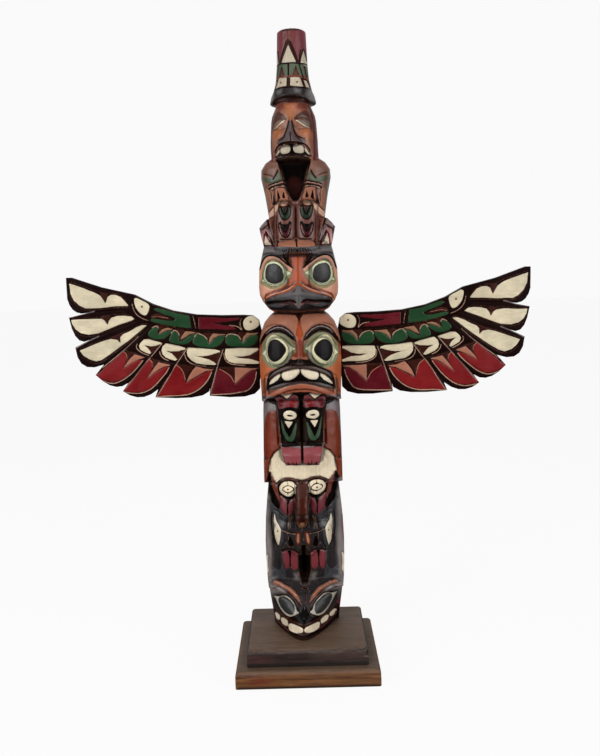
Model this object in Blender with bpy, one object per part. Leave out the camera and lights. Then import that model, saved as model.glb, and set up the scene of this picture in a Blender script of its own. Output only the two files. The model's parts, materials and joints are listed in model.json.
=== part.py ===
# A carved and painted wooden totem pole with two wing boards, standing on a stepped base of two boards.
# Sizes are in millimetres; MM turns them into metres when the points are made.
# x runs to the viewer's right, z is the height, and "reach" is how far a surface comes forward (towards -y).
# The carving is the same on both sides of the pole, so most sizes across are distances from the centre line.
import math

import bmesh
import bpy
import numpy as np

MM = 0.001
GAP = 0.3

# The two boards of the base
LOWER_WIDTH = 129.0
LOWER_DEPTH = 103.0
LOWER_THICK = 16.0
UPPER_WIDTH = 108.6
UPPER_DEPTH = 87.0
UPPER_THICK = 16.0
BOARD_EDGE = 4.5
BOARD_CORNER = 1.4
EDGE_FACETS = 4
CORNER_FACETS = 2

# How finely the pole is stepped: columns round the front, angles round the back, spacing of the rows
FRONT_COLUMNS = 30
BACK_ANGLES = (97.0, 110.0, 130.0, 155.0)
ROW_STEP = 9.0
LEDGE = 0.35
SOFT = 0.5

# Heights where one carved figure ends over the next
POLE_FOOT = LOWER_THICK + UPPER_THICK + 2 * GAP
SNOUT_TOP = 84.0
BEAK_3_UNDER = 137.0
PANEL_END = 175.2
TOE_2 = 196.0
CHIN_2 = 250.5
BEAK_1_UNDER = 329.4
TOE_1 = 378.6
EAR_FOOT = 387.0
EAR_TOP = 409.6
HAND_END = 424.0
CHIN_1 = 457.6
SHOULDER_TOP = 460.6
BRIM_UNDER = 505.8
POLE_TOP = 565.4

# Outline of the pole by height: height, half width, reach of the widest line, of the front and of the back,
# squareness of the front, squareness of the back. The back of the billet is flat and was left at BACK.
BACK = -40.0
OUTLINE = (
    (POLE_FOOT, 30.8, -16.0, 14.0, -39.0, 2.0, 6.0),
    (45.0, 31.9, -14.0, 14.0, BACK, 2.1, 6.0),
    (55.0, 33.0, -12.0, 13.0, BACK, 2.2, 6.0),
    (67.0, 34.2, -8.0, 12.0, BACK, 2.3, 6.0),
    (SNOUT_TOP, 35.6, -6.0, 11.0, BACK, 2.4, 6.0),
    (107.0, 36.3, -5.0, 12.0, BACK, 2.5, 6.0),
    (120.0, 36.4, -5.0, 13.0, BACK, 2.5, 6.0),
    (141.0, 35.5, -5.0, 13.5, BACK, 2.5, 6.0),
    (158.0, 33.9, -5.0, 13.5, BACK, 2.4, 6.0),
    (PANEL_END - LEDGE, 32.0, -5.0, 14.0, BACK, 2.4, 6.0),
    (PANEL_END + LEDGE, 35.9, -5.0, 14.0, BACK, 2.8, 6.0),
    (205.0, 35.7, -5.0, 13.0, BACK, 2.8, 6.0),
    (240.0, 34.9, -5.0, 11.0, BACK, 2.8, 6.0),
    (CHIN_2 - LEDGE, 34.4, -5.0, 9.0, BACK, 2.8, 6.0),
    (CHIN_2 + LEDGE, 35.8, -5.0, 17.0, BACK, 2.5, 6.0),
    (270.0, 36.5, -5.0, 18.0, BACK, 2.5, 6.0),
    (289.0, 36.9, -5.0, 18.0, BACK, 2.5, 6.0),
    (304.5, 36.0, -5.0, 17.0, BACK, 2.4, 6.0),
    (312.0, 34.3, -5.0, 16.0, BACK, 2.3, 6.0),
    (320.0, 31.2, -5.0, 14.0, BACK, 2.2, 5.0),
    (325.5, 26.5, -6.0, 11.0, -39.0, 2.2, 5.0),
    (BEAK_1_UNDER - LEDGE, 21.8, -6.0, 8.0, -38.0, 2.2, 5.0),
    (BEAK_1_UNDER + LEDGE, 22.3, -6.0, 12.0, -38.0, 2.2, 5.0),
    (332.0, 26.7, -5.0, 12.5, -39.0, 2.3, 5.0),
    (338.0, 31.8, -5.0, 13.0, BACK, 2.4, 6.0),
    (344.0, 34.6, -5.0, 13.5, BACK, 2.5, 6.0),
    (351.0, 35.2, -5.0, 14.0, BACK, 2.5, 6.0),
    (367.0, 34.5, -5.0, 15.0, BACK, 2.5, 6.0),
    (380.0, 31.4, -5.0, 15.5, BACK, 2.5, 6.0),
    (386.0, 29.8, -5.0, 14.0, BACK, 2.6, 6.0),
    (EAR_FOOT + 1.0, 30.2, -5.0, 6.0, BACK, 3.0, 6.0),
    (402.5, 33.4, -5.0, 6.0, BACK, 3.0, 6.0),
    (EAR_TOP, 26.0, -5.0, 5.0, BACK, 2.6, 6.0),
    (EAR_TOP + 0.9, 24.4, -5.0, 12.0, -39.0, 2.5, 6.0),
    (430.0, 27.3, -5.0, 13.5, -38.0, 2.5, 5.0),
    (444.5, 30.3, -6.0, 13.5, -37.0, 2.5, 5.0),
    (451.5, 29.9, -6.0, 13.0, -36.0, 2.4, 4.0),
    (457.0, 26.2, -6.0, 12.5, -34.0, 2.4, 4.0),
    (SHOULDER_TOP - LEDGE, 21.6, -7.0, 12.5, -31.0, 2.3, 3.5),
    (SHOULDER_TOP + LEDGE, 20.6, -7.0, 12.5, -29.0, 2.3, 3.0),
    (466.0, 20.6, -7.0, 12.9, -28.0, 2.3, 3.0),
    (475.0, 20.5, -7.0, 13.0, -27.0, 2.3, 3.0),
    (483.0, 20.0, -7.0, 13.0, -26.0, 2.3, 2.8),
    (491.7, 19.4, -7.0, 12.5, -25.0, 2.2, 2.5),
    (496.0, 18.6, -7.0, 11.8, -24.4, 2.1, 2.3),
    (500.0, 16.9, -7.0, 10.8, -23.0, 2.0, 2.2),
    (503.5, 15.3, -6.5, 9.6, -21.5, 2.0, 2.1),
    (BRIM_UNDER - LEDGE, 14.8, -6.0, 9.0, -20.5, 2.0, 2.0),
    (BRIM_UNDER + LEDGE, 19.8, -6.0, 13.8, -25.8, 2.0, 2.0),
    (508.0, 19.7, -6.0, 13.7, -25.7, 2.0, 2.0),
    (512.0, 18.7, -6.0, 12.7, -24.7, 2.0, 2.0),
    (517.0, 16.5, -6.0, 10.5, -22.5, 2.0, 2.0),
    (526.0, 14.2, -6.0, 8.2, -20.2, 2.0, 2.0),
    (537.0, 13.2, -6.0, 7.2, -19.2, 2.0, 2.0),
    (564.4, 12.2, -6.0, 6.2, -18.2, 2.0, 2.0),
    (565.0, 11.6, -6.0, 5.6, -17.6, 2.0, 2.0),
    (POLE_TOP, 10.8, -6.0, 4.8, -16.8, 2.0, 2.0),
)
# Heights of the figures' features that also need a row of points
FEATURE_ROWS = (
    38.6, 41.0, 50.0, 61.0, 72.0, 96.0, 132.0, 147.0, 187.0, 214.0, 224.0, 262.0, 267.0, 275.0, 298.0, 318.0,
    354.0, 362.0, 372.0, 392.0, 418.0, 426.0, 436.0, 464.0, 476.0, 481.0,
)
FEATURE_LEDGES = (CHIN_1, HAND_END, TOE_1, TOE_2, BEAK_3_UNDER, 470.2, 281.8, EAR_FOOT, 178.0)

# Rounded forms: distance from the centre line, height, half width, half height, how far they stand out
MAN_SOCKET = (9.5, 487.0, 8.5, 6.5, -2.6)
MAN_LID = (9.8, 485.5, 7.0, 3.6, 2.0)
HAWK_SOCKET = (21.5, 364.0, 13.0, 14.5, -3.2)
HAWK_EYE = (21.5, 363.8, 9.6, 10.5, 3.0)
EAR_HOLLOW = (26.8, 394.5, 5.0, 9.5, -3.0)
BIRD_SOCKET = (19.6, 294.8, 13.8, 14.0, -3.4)
BIRD_EYE = (20.0, 295.0, 9.6, 11.5, 3.4)
EAGLE_EYE = (12.9, 171.8, 8.6, 7.4, 2.4)
EAGLE_CHEEK = (12.5, 152.0, 9.0, 15.0, 2.2)
EAGLE_THIGH = (14.0, 103.0, 9.0, 18.0, 2.0)
EAGLE_BREAST = (0.0, 128.0, 27.0, 22.0, 9.0)

# The man: nose by height (height, half width, reach of its ridge), mouth, hollow under the chin, legs
MAN_NOSE = (
    (470.2, 11.5, 20.5), (472.3, 10.5, 21.5), (476.0, 6.0, 19.9), (482.0, 3.8, 17.5), (493.0, 2.2, 12.8),
)
MAN_NOSE_SIDE = 11.0
MAN_MOUTH = (461.3, 469.8, 13.1, 13.4)
MAN_LIP = (CHIN_1, 461.0, 13.0, 16.0)
MOUTH_CURVE = 0.035
FACE_CURVE = 0.02
HOLLOW_HALF = ((HAND_END, 1.6), (430.0, 6.6), (440.0, 9.4), (CHIN_1, 14.0))
HOLLOW_REACH = 3.0
HAND_TOP = 436.0
HAND_REACH = 16.0
HAND_OUTER = 17.0
LEG_1_CENTRE = 9.2
LEG_1_HALF = 9.0
LEG_1_REACH = 19.5
LEG_1_BED = 12.5
KNEE_1 = (427.5, 418.0)
FOOT_1_HALF = 18.2
FOOT_1_REACH = (19.0, 25.5)
FOOT_1_RISE = (392.5, 384.0)
PIT_EDGE = ((TOE_1, 19.0), (386.0, 20.5), (EAR_TOP, 25.0))
PIT_REACH = -1.0

# The hooked-beak head with ears
EAR_REACH = 7.0
EAR_RIM = 31.5
HAWK_BROW = (24.0, 18.0, 367.0, 13.5, 386.2, 2.2)
HAWK_BRIDGE = (8.5, 350.0, 379.0, 18.5, 0.35)
HAWK_BEAK_TOP = 354.5
HAWK_BEAK_SLOPE = 0.47
HAWK_BEAK_HALF = 28.5
HAWK_BEAK_SIDE = 2.0
HAWK_BEAK = ((BEAK_1_UNDER, 26.0), (333.0, 28.0), (343.0, 27.5), (HAWK_BEAK_TOP, 19.0))
HAWK_MOUTH = (336.6, 338.8, 4.0, 24.0, 1.6)

# The winged bird's head
BIRD_BROW = (20.0, 16.0, 303.0, 15.5, 4.4, 1.8)
BIRD_NOSE = (
    (281.8, 12.0, 25.0), (284.0, 10.5, 26.0), (290.5, 7.0, 24.0), (303.0, 4.5, 19.0), (312.0, 4.5, 16.0),
)
BIRD_NOSE_SIDE = 16.5
BIRD_LIPS = (262.5, 284.5, 31.3, 21.0)
BIRD_MOUTH = (267.5, 280.3, 29.4, 18.4)
BIRD_SAG = 0.0125
BIRD_CHIN_RISE = 8.0
NECK_REACH = 10.5

# Its body: legs and feet between the folded wing panels, over the pale head below
LEG_2_CENTRE = 10.8
LEG_2_HALF = 9.8
LEG_2_REACH = 17.5
LEG_2_BED = 11.0
LEG_2_FOOT = 211.0
TRENCH_HALF = 21.5
TRENCH_REACH = 8.0
FOOT_2_HALF = ((TOE_2, 16.2), (214.0, 20.5))
FOOT_2_REACH = (16.5, 23.5)
FOOT_2_RISE = (214.0, 203.0)
BIB_HALF = ((PANEL_END, 32.4), (187.0, 32.0), (198.0, 29.5), (205.0, 24.5), (209.0, 17.0))
BIB_DROP = 2.2

# The pale-headed bird
EAGLE_HEAD_REACH = 15.0
EAGLE_HEAD_HALF = 24.0
EAGLE_BROW = (12.5, 11.5, 176.2, 4.6)
EAGLE_FACE = (141.0, 23.5, 14.3)
EAGLE_SEAM = ((92.0, 30.0), (112.0, 29.0), (128.0, 25.0), (141.0, 27.5), (160.0, 31.0))
SEAM_DEEP = 0.9
EAGLE_BEAK = (
    (BEAK_3_UNDER, 2.6, 24.5), (139.5, 4.0, 27.0), (147.0, 6.0, 28.0), (165.0, 6.0, 25.0), (180.5, 6.0, 17.0),
)
SLOT = ((80.0, 2.4), (86.0, 3.6), (92.0, 4.8), (117.0, 4.8))
SLOT_REACH = 2.0
TALON = (4.4, 3.4, 108.0, 132.0, 11.5, 15.0)

# The long-snouted head at the foot: reach of its tip and fullness of its sides by height
SNOUT = (
    (POLE_FOOT, 27.6, 1.6, 1.0), (40.0, 27.8, 1.6, 1.0), (47.0, 27.6, 1.6, 1.0), (51.0, 25.4, 1.65, 0.92),
    (56.0, 21.5, 1.75, 0.8), (62.0, 17.0, 1.9, 0.68), (70.0, 12.8, 2.1, 0.55), (SNOUT_TOP, 11.0, 2.4, 0.42),
)
SNOUT_LIP = (45.6, 0.035, 7.0, 29.0, 1.2)
SNOUT_BROW = (77.5, 16.5, 31.0, 25.0, 2.6, 1.5)
SNOUT_EYE = (17.5, 53.4, 0.38, 10.5, 5.8, 1.3)

# The wing boards: flat boards butted against the cheeks of the winged head, their carving cut in the front
WING_FRONT = -12.0
WING_THICK = 6.0
BAR_RISE = 1.2
BAR_BED = 2.0
GROOVE_HALF = 1.2
GROOVE_DEEP = 1.0
EDGE_STEPS = 5
WING_TOP_EDGE = (
    (36.6, 321.5), (42.0, 325.7), (50.0, 326.4), (70.6, 326.6), (93.0, 327.8), (114.0, 331.8),
    (132.0, 338.2), (148.2, 347.0), (177.7, 354.2), (204.5, 363.6), (208.5, 363.5),
)
WING_ROOT_HEIGHTS = (272.0, 281.0, 290.0, 298.0, 305.0, 312.0)
BAR_END = 150.0
# One row for each feather, outermost first: tip, lowest point of its curved edge, notch to the next feather
FEATHERS = (
    ((208.7, 344.8), (203.0, 333.6), (191.8, 331.5)),
    ((208.3, 327.9), (202.0, 308.6), (190.5, 307.3)),
    ((204.3, 300.7), (197.5, 283.8), (179.4, 284.3)),
    ((187.5, 274.9), (172.0, 264.0), (158.3, 266.8)),
    ((163.4, 259.3), (147.5, 253.2), (131.2, 260.2)),
    ((134.0, 252.9), (95.0, 252.6), (83.5, 261.6)),
    ((84.0, 253.2), (46.5, 252.6), (37.6, 265.4)),
)
# Carved lines: from just outside each notch inward, and the two long lines between the rows of feathers
FEATHER_LINES = (
    ((194.2, 331.4), (155.0, 333.6)),
    ((192.6, 306.5), (149.0, 323.0)),
    ((181.4, 283.0), (157.5, 299.1), (138.0, 316.5)),
    ((159.8, 264.9), (141.0, 284.6)),
    ((132.6, 258.0), (117.0, 278.4)),
    ((84.2, 258.4), (78.4, 274.6)),
)
ROW_LINES = (
    ((38.6, 296.4), (71.5, 296.0), (102.0, 297.6), (130.0, 304.4), (141.0, 308.0)),
    ((38.9, 279.2), (77.0, 279.6), (113.0, 283.4), (138.0, 290.0), (154.0, 296.4)),
)
BAR_LOWER_EDGE = (
    (156.0, 334.0), (147.5, 327.0), (134.0, 320.7), (115.0, 316.1), (97.0, 313.7), (69.0, 311.2),
    (36.9, 311.2),
)

# Colours and surface roughness of each piece
POLE_COLOUR = (0.16, 0.06, 0.035)
WING_COLOUR = (0.30, 0.03, 0.035)
LOWER_COLOUR = (0.19, 0.085, 0.05)
UPPER_COLOUR = (0.075, 0.05, 0.042)
PAINT_ROUGHNESS = 0.42
BOARD_ROUGHNESS = 0.5


def ease(value, low, high):
    t = np.clip((value - low) / (high - low), 0.0, 1.0)
    return t * t * (3.0 - 2.0 * t)


def between(z, low, high, soft=SOFT):
    return ease(z, low - soft / 2, low + soft / 2) * (1.0 - ease(z, high - soft / 2, high + soft / 2))


def column(z, table, i):
    """One column of a table that is sorted by height, read at the height z."""
    return np.interp(z, [row[0] for row in table], [row[i] for row in table])


def lay(reach, target, mask):
    """Bring the surface to the target reach wherever the mask is 1."""
    return reach + (target - reach) * mask


def stand_out(reach, form, mask):
    """Raise the surface to a form that stands out of it, inside the mask."""
    return np.where(mask, np.maximum(reach, form), reach)


def dome(side, z, form):
    """Height of a rounded form over its surroundings: full at its middle, nothing at its rim."""
    centre, height, half_width, half_height, rise = form
    spread = ((side - centre) / half_width) ** 2 + ((z - height) / half_height) ** 2
    return rise * np.sqrt(np.clip(1.0 - spread, 0.0, 1.0))


def arch(side, centre, half):
    return np.sqrt(np.clip(1.0 - ((side - centre) / half) ** 2, 0.0, 1.0))


def carve_man(side, z, reach):
    reach = reach + dome(side, z, MAN_SOCKET) + dome(side, z, MAN_LID)
    half = column(z, MAN_NOSE, 1)
    crest = column(z, MAN_NOSE, 2)
    nose = crest - (crest - MAN_NOSE_SIDE) * np.clip(side / half, 0.0, 1.0) ** 1.6
    reach = stand_out(reach, nose, (z > MAN_NOSE[0][0]) & (z < MAN_NOSE[-1][0]) & (side < half))
    for (low, high, half, target), curve in ((MAN_MOUTH, MOUTH_CURVE), (MAN_LIP, MOUTH_CURVE / 2)):
        inside = between(z + curve * side ** 2, low, high) * (1.0 - ease(side, half - SOFT, half + SOFT))
        reach = lay(reach, target - FACE_CURVE * side ** 2, inside)
    half = column(z, HOLLOW_HALF, 1)
    hollow = between(z, HAND_END, CHIN_1) * (1.0 - ease(side, half - SOFT, half + SOFT))
    reach = lay(reach, HOLLOW_REACH, hollow)
    hand = between(z, HAND_END, HAND_TOP, 2.0) * ease(side, half, half + 1.2)
    reach = lay(reach, HAND_REACH, hand * (1.0 - ease(side, HAND_OUTER - 1.0, HAND_OUTER + 1.0)))
    edge = column(z, PIT_EDGE, 1)
    pit = between(z, EAR_FOOT, EAR_TOP, 1.0) * (1.0 - ease(side, edge - 0.8, edge + 0.8))
    reach = lay(reach, PIT_REACH, pit * (side > LEG_1_CENTRE))
    leg = LEG_1_BED + (LEG_1_REACH - LEG_1_BED) * arch(side, LEG_1_CENTRE, LEG_1_HALF)
    in_leg = (z > TOE_1) & (z < KNEE_1[0]) & (side < LEG_1_CENTRE + LEG_1_HALF)
    reach = stand_out(reach, leg * ease(z, *KNEE_1), in_leg)
    near, far = FOOT_1_REACH
    foot = near + (far - near) * ease(z, *FOOT_1_RISE) - FACE_CURVE / 2 * side ** 2
    inside = between(z, TOE_1, FOOT_1_RISE[0]) * (1.0 - ease(side, FOOT_1_HALF - SOFT, FOOT_1_HALF + SOFT))
    return lay(reach, np.maximum(reach, foot), inside)


def carve_hawk(side, z, reach):
    edge = column(z, PIT_EDGE, 1)
    ear = between(z, EAR_FOOT, EAR_TOP) * ease(side, edge, edge + 1.0) * (side < EAR_RIM)
    reach = lay(reach, EAR_REACH + dome(side, z, EAR_HOLLOW), ear)
    centre, half, foot, rise, top, height = HAWK_BROW
    brow = between(z, foot + rise * arch(side, centre, half), top, 1.0) * (side > centre - half)
    reach = reach + height * brow * (1.0 - ease(side, centre + half / 3, centre + half / 2))
    reach = reach + dome(side, z, HAWK_SOCKET) + dome(side, z, HAWK_EYE)
    half, low, high, crest, slope = HAWK_BRIDGE
    reach = stand_out(reach, crest - slope * side, (z > low) & (z < high) & (side < half))
    crest = column(z, HAWK_BEAK, 1)
    beak = crest - (crest - HAWK_BEAK_SIDE) * np.clip(side / HAWK_BEAK_HALF, 0.0, 1.0) ** 1.25
    in_beak = (z < HAWK_BEAK_TOP - HAWK_BEAK_SLOPE * side) & (z > BEAK_1_UNDER) & (side < HAWK_BEAK_HALF)
    reach = stand_out(reach, beak, in_beak)
    low, high, inner, outer, deep = HAWK_MOUTH
    return reach - deep * between(z, low, high) * (side > inner) * (side < outer)


def carve_bird_head(side, z, reach):
    centre, half, foot, rise, thick, height = BIRD_BROW
    brow = foot + rise * arch(side, centre, half)
    reach = reach + height * between(z, brow - thick, brow, 0.8) * (np.abs(side - centre) < half)
    reach = reach + dome(side, z, BIRD_SOCKET) * (z < brow - thick) + dome(side, z, BIRD_EYE)
    half = column(z, BIRD_NOSE, 1)
    crest = column(z, BIRD_NOSE, 2)
    nose = crest - (crest - BIRD_NOSE_SIDE) * np.clip(side / half, 0.0, 1.0) ** 1.7
    reach = stand_out(reach, nose, (z > BIRD_NOSE[0][0]) & (z < BIRD_NOSE[-1][0]) & (side < half))
    for low, high, half, target in (BIRD_LIPS, BIRD_MOUTH):
        inside = between(z + BIRD_SAG * side ** 2, low, high) * (1.0 - ease(side, half - SOFT, half + SOFT))
        reach = lay(reach, target - FACE_CURVE / 2 * side ** 2, inside)
    chin = CHIN_2 + BIRD_CHIN_RISE * arch(side, 0.0, LEG_2_CENTRE * 3.5) ** 2
    return lay(reach, NECK_REACH, between(z, CHIN_2, chin))


def carve_bird_body(side, z, reach):
    chin = CHIN_2 + BIRD_CHIN_RISE
    trench = between(z, LEG_2_FOOT, chin) * (1.0 - ease(side, TRENCH_HALF - SOFT, TRENCH_HALF + SOFT))
    reach = lay(reach, TRENCH_REACH, trench)
    leg = LEG_2_BED + (LEG_2_REACH - LEG_2_BED) * arch(side, LEG_2_CENTRE, LEG_2_HALF)
    in_leg = (z > LEG_2_FOOT) & (z < chin) & (np.abs(side - LEG_2_CENTRE) < LEG_2_HALF)
    reach = stand_out(reach, leg, in_leg)
    half = column(z, FOOT_2_HALF, 1)
    near, far = FOOT_2_REACH
    foot = near + (far - near) * ease(z, *FOOT_2_RISE) - FACE_CURVE / 2 * side ** 2
    inside = between(z, TOE_2, FOOT_2_RISE[0]) * (1.0 - ease(side, half - SOFT, half + SOFT))
    inside = inside * (0.4 + 0.6 * ease(side, 0.3, 1.4))
    reach = lay(reach, foot, inside)
    centre, half, foot, rise = EAGLE_BROW
    low = np.where(side < EAGLE_HEAD_HALF, foot + rise * arch(side, centre, half), PANEL_END)
    bib = between(z, low, BIB_HALF[-1][0]) * (side < column(z, BIB_HALF, 1)) * (1.0 - inside)
    return reach - BIB_DROP * bib


def carve_eagle(side, z, reach):
    centre, half, foot, rise = EAGLE_BROW
    crown = EAGLE_HEAD_REACH - FACE_CURVE / 2 * side ** 2
    reach = stand_out(reach, crown, (z > foot) & (z < TOE_2) & (side < EAGLE_HEAD_HALF))
    low, edge, target = EAGLE_FACE
    inner = 1.0 - ease(side, edge - 1.0, edge + 1.0)
    face = between(z, low, foot + rise * arch(side, centre, half)) * inner
    reach = lay(reach, target - FACE_CURVE / 2 * side ** 2, face)
    reach = reach + dome(side, z, EAGLE_EYE) + dome(side, z, EAGLE_CHEEK)
    reach = np.maximum(reach, EAGLE_HEAD_REACH / 2 + dome(side, z, EAGLE_BREAST))
    seam = column(z, EAGLE_SEAM, 1)
    on_seam = between(z, EAGLE_SEAM[0][0], EAGLE_SEAM[-1][0], 3.0) * np.exp(-((side - seam) / 1.8) ** 2)
    reach = reach - SEAM_DEEP * on_seam
    half = column(z, EAGLE_BEAK, 1)
    beak = column(z, EAGLE_BEAK, 2) - 2.5 * np.clip(side / half, 0.0, 1.0) ** 3
    reach = stand_out(reach, beak, (z > BEAK_3_UNDER) & (z < EAGLE_BEAK[-1][0]) & (side < half))
    half = column(z, SLOT, 1)
    in_slot = between(z, SLOT[0][0], SLOT[-1][0], 3.0) * (1.0 - ease(side, half - 0.7, half + 0.7))
    reach = lay(reach, SLOT_REACH, in_slot)
    centre, half, low, high, bed, crest = TALON
    talon = bed + (crest - bed) * arch(side, centre, half)
    reach = stand_out(reach, talon, (z > low) & (z < high) & (np.abs(side - centre) < half))
    return reach + dome(side, z, EAGLE_THIGH)


def carve_whale(side, z, reach):
    half, mid = outline_at(z)[:2]
    tip = column(z, SNOUT, 1)
    fullness = np.clip(1.0 - (side / half) ** column(z, SNOUT, 2), 0.0, 1.0)
    snout = mid + (tip - mid) * fullness ** column(z, SNOUT, 3)
    reach = lay(reach, snout, 1.0 - ease(z, SNOUT_TOP - 8.0, SNOUT_TOP))
    foot, slope, height, half, deep = SNOUT_LIP
    lip = foot + slope * side
    reach = reach - deep * between(z, lip - height, lip, 0.8) * (side < half)
    top, drop, outer, span, thick, rise = SNOUT_BROW
    brow = top - drop * (np.clip(outer - side, 0.0, outer) / span) ** 1.2
    along = (side > outer - span) * (1.0 - ease(side, outer - 3.0, outer))
    on_brow = np.exp(-((z - brow) / thick) ** 2) * along
    reach = reach + rise * on_brow
    centre, height, slope, half_width, half_height, rise = SNOUT_EYE
    return reach + dome(side, z - slope * side, (centre, height, half_width, half_height, rise))


# Each figure's carving, with the lowest and the highest row it works on
CARVINGS = (
    (POLE_FOOT - 1.0, SNOUT_TOP, carve_whale),
    (75.0, TOE_2, carve_eagle),
    (PANEL_END - 1.0, CHIN_2 + BIRD_CHIN_RISE, carve_bird_body),
    (CHIN_2 - 1.0, 322.0, carve_bird_head),
    (BEAK_1_UNDER - 0.2, EAR_TOP + 1.0, carve_hawk),
    (TOE_1 - 0.2, 494.0, carve_man),
)


def outline_at(z):
    return [column(z, OUTLINE, i) for i in range(1, 7)]


def pole_rows():
    """Heights of the rows of points, closer together where a ledge is cut."""
    levels = [row[0] for row in OUTLINE] + list(FEATURE_ROWS)
    for ledge in FEATURE_LEDGES:
        levels += [ledge - LEDGE, ledge + LEDGE]
    levels.sort()
    rows = [levels[0]]
    for level in levels[1:]:
        start = rows[-1]
        if level - start < GAP:
            continue
        pieces = math.ceil((level - start) / ROW_STEP)
        rows += [start + (level - start) * (i + 1) / pieces for i in range(pieces)]
    return rows


def ring_points(z):
    """One level ring: the carved front from side to side, then round the plain back."""
    half, mid, front, back, front_power, back_power = [float(v) for v in outline_at(z)]
    turn = np.radians(np.linspace(-90.0, 90.0, FRONT_COLUMNS + 1))
    x = half * np.sin(turn)
    reach = mid + (front - mid) * np.clip(np.cos(turn), 0.0, 1.0) ** (2.0 / front_power)
    for low, high, carving in CARVINGS:
        if low <= z <= high:
            reach = carving(np.abs(x), np.full_like(x, z), reach)
    reach[0] = mid
    reach[-1] = mid
    right = []
    for angle in BACK_ANGLES:
        across = half * math.sin(math.radians(angle)) ** (2.0 / back_power)
        behind = mid + (back - mid) * abs(math.cos(math.radians(angle))) ** (2.0 / back_power)
        right.append((across, behind))
    left = [(-across, behind) for across, behind in reversed(right)]
    ring = list(zip(x, reach)) + right + [(0.0, back)] + left
    return [(across * MM, -forward * MM, z * MM) for across, forward in ring]


def finish(name, form, colour, roughness, smooth):
    bmesh.ops.recalc_face_normals(form, faces=form.faces)
    mesh = bpy.data.meshes.new(name)
    form.to_mesh(mesh)
    form.free()
    for polygon in mesh.polygons:
        polygon.use_smooth = smooth
    piece = bpy.data.objects.new(name, mesh)
    bpy.context.scene.collection.objects.link(piece)
    material = bpy.data.materials.new(name)
    material.use_nodes = True
    shader = material.node_tree.nodes["Principled BSDF"]
    shader.inputs["Base Color"].default_value = (*colour, 1.0)
    shader.inputs["Roughness"].default_value = roughness
    shader.inputs["Metallic"].default_value = 0.0
    mesh.materials.append(material)
    return piece


def skin_of(rings):
    """One closed skin over a stack of rings, from the lowest to the highest."""
    skin = bmesh.new()
    rings = [[skin.verts.new(point) for point in ring] for ring in rings]
    count = len(rings[0])
    for lower, upper in zip(rings, rings[1:]):
        for i in range(count):
            j = (i + 1) % count
            skin.faces.new((lower[i], lower[j], upper[j], upper[i]))
    caps = [skin.faces.new(rings[0]), skin.faces.new(rings[-1])]
    bmesh.ops.triangulate(skin, faces=caps)
    return skin


def make_pole():
    skin = skin_of([ring_points(z) for z in pole_rows()])
    return finish("pole", skin, POLE_COLOUR, PAINT_ROUGHNESS, True)


def board_ring(width, depth, inset, level):
    """The plan of a board at one level, drawn in by the inset, with its four corners eased."""
    ring = []
    for sign_x, sign_y, start in ((1, 1, 0.0), (-1, 1, 90.0), (-1, -1, 180.0), (1, -1, 270.0)):
        for k in range(CORNER_FACETS + 1):
            angle = math.radians(start + 90.0 * k / CORNER_FACETS)
            x = sign_x * (width / 2 - inset - BOARD_CORNER) + BOARD_CORNER * math.cos(angle)
            y = sign_y * (depth / 2 - inset - BOARD_CORNER) + BOARD_CORNER * math.sin(angle)
            ring.append((x * MM, y * MM, level * MM))
    return ring


def make_board(name, width, depth, thick, foot, colour):
    """A board with crisp lower edges, eased upright corners and a rounded upper edge."""
    rings = [board_ring(width, depth, 0.0, foot)]
    for k in range(EDGE_FACETS + 1):
        angle = math.radians(90.0 * k / EDGE_FACETS)
        level = foot + thick - BOARD_EDGE * (1.0 - math.sin(angle))
        rings.append(board_ring(width, depth, BOARD_EDGE * (1.0 - math.cos(angle)), level))
    return finish(name, skin_of(rings), colour, BOARD_ROUGHNESS, False)


def curved_edge(tip, low, notch):
    """A feather's rounded edge: from the tip, drawn down to its lowest point, up to the notch."""
    control = [2.0 * low[i] - 0.5 * (tip[i] + notch[i]) for i in (0, 1)]
    points = []
    for k in range(1, EDGE_STEPS + 1):
        t = k / EDGE_STEPS
        shares = ((1 - t) ** 2, 2 * t * (1 - t), t * t)
        points.append(tuple(shares[0] * tip[i] + shares[1] * control[i] + shares[2] * notch[i] for i in (0, 1)))
    return points


def slab(points, side, front, back):
    """A flat upright board from its outline, between two reaches."""
    board = bmesh.new()
    face = board.faces.new([board.verts.new((side * px * MM, -back * MM, pz * MM)) for px, pz in points])
    grown = bmesh.ops.extrude_face_region(board, geom=[face])
    moved = [v for v in grown["geom"] if isinstance(v, bmesh.types.BMVert)]
    bmesh.ops.translate(board, vec=(0.0, (back - front) * MM, 0.0), verts=moved)
    return board


def add_groove(cutters, line, side):
    """A V-shaped cutter along a line, mitred where the line turns."""
    rings = []
    for i, (px, pz) in enumerate(line):
        before = line[max(i - 1, 0)]
        after = line[min(i + 1, len(line) - 1)]
        length = math.hypot(after[0] - before[0], after[1] - before[1])
        ux = (after[0] - before[0]) / length
        uz = (after[1] - before[1]) / length
        ring = []
        for across, reach in ((-GROOVE_HALF, GAP), (GROOVE_HALF, GAP), (0.0, -GROOVE_DEEP)):
            at = (side * (px - uz * across) * MM, -(WING_FRONT + reach) * MM, (pz + ux * across) * MM)
            ring.append(cutters.verts.new(at))
        rings.append(ring)
    cutters.faces.new(rings[0])
    cutters.faces.new(rings[-1])
    for first, last in zip(rings, rings[1:]):
        for i in range(3):
            j = (i + 1) % 3
            cutters.faces.new((first[i], first[j], last[j], last[i]))


def join(piece, tool, operation):
    tool.hide_render = True
    tool.display_type = 'WIRE'
    modifier = piece.modifiers.new(operation.lower(), 'BOOLEAN')
    modifier.operation = operation
    modifier.solver = 'EXACT'
    modifier.object = tool


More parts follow.
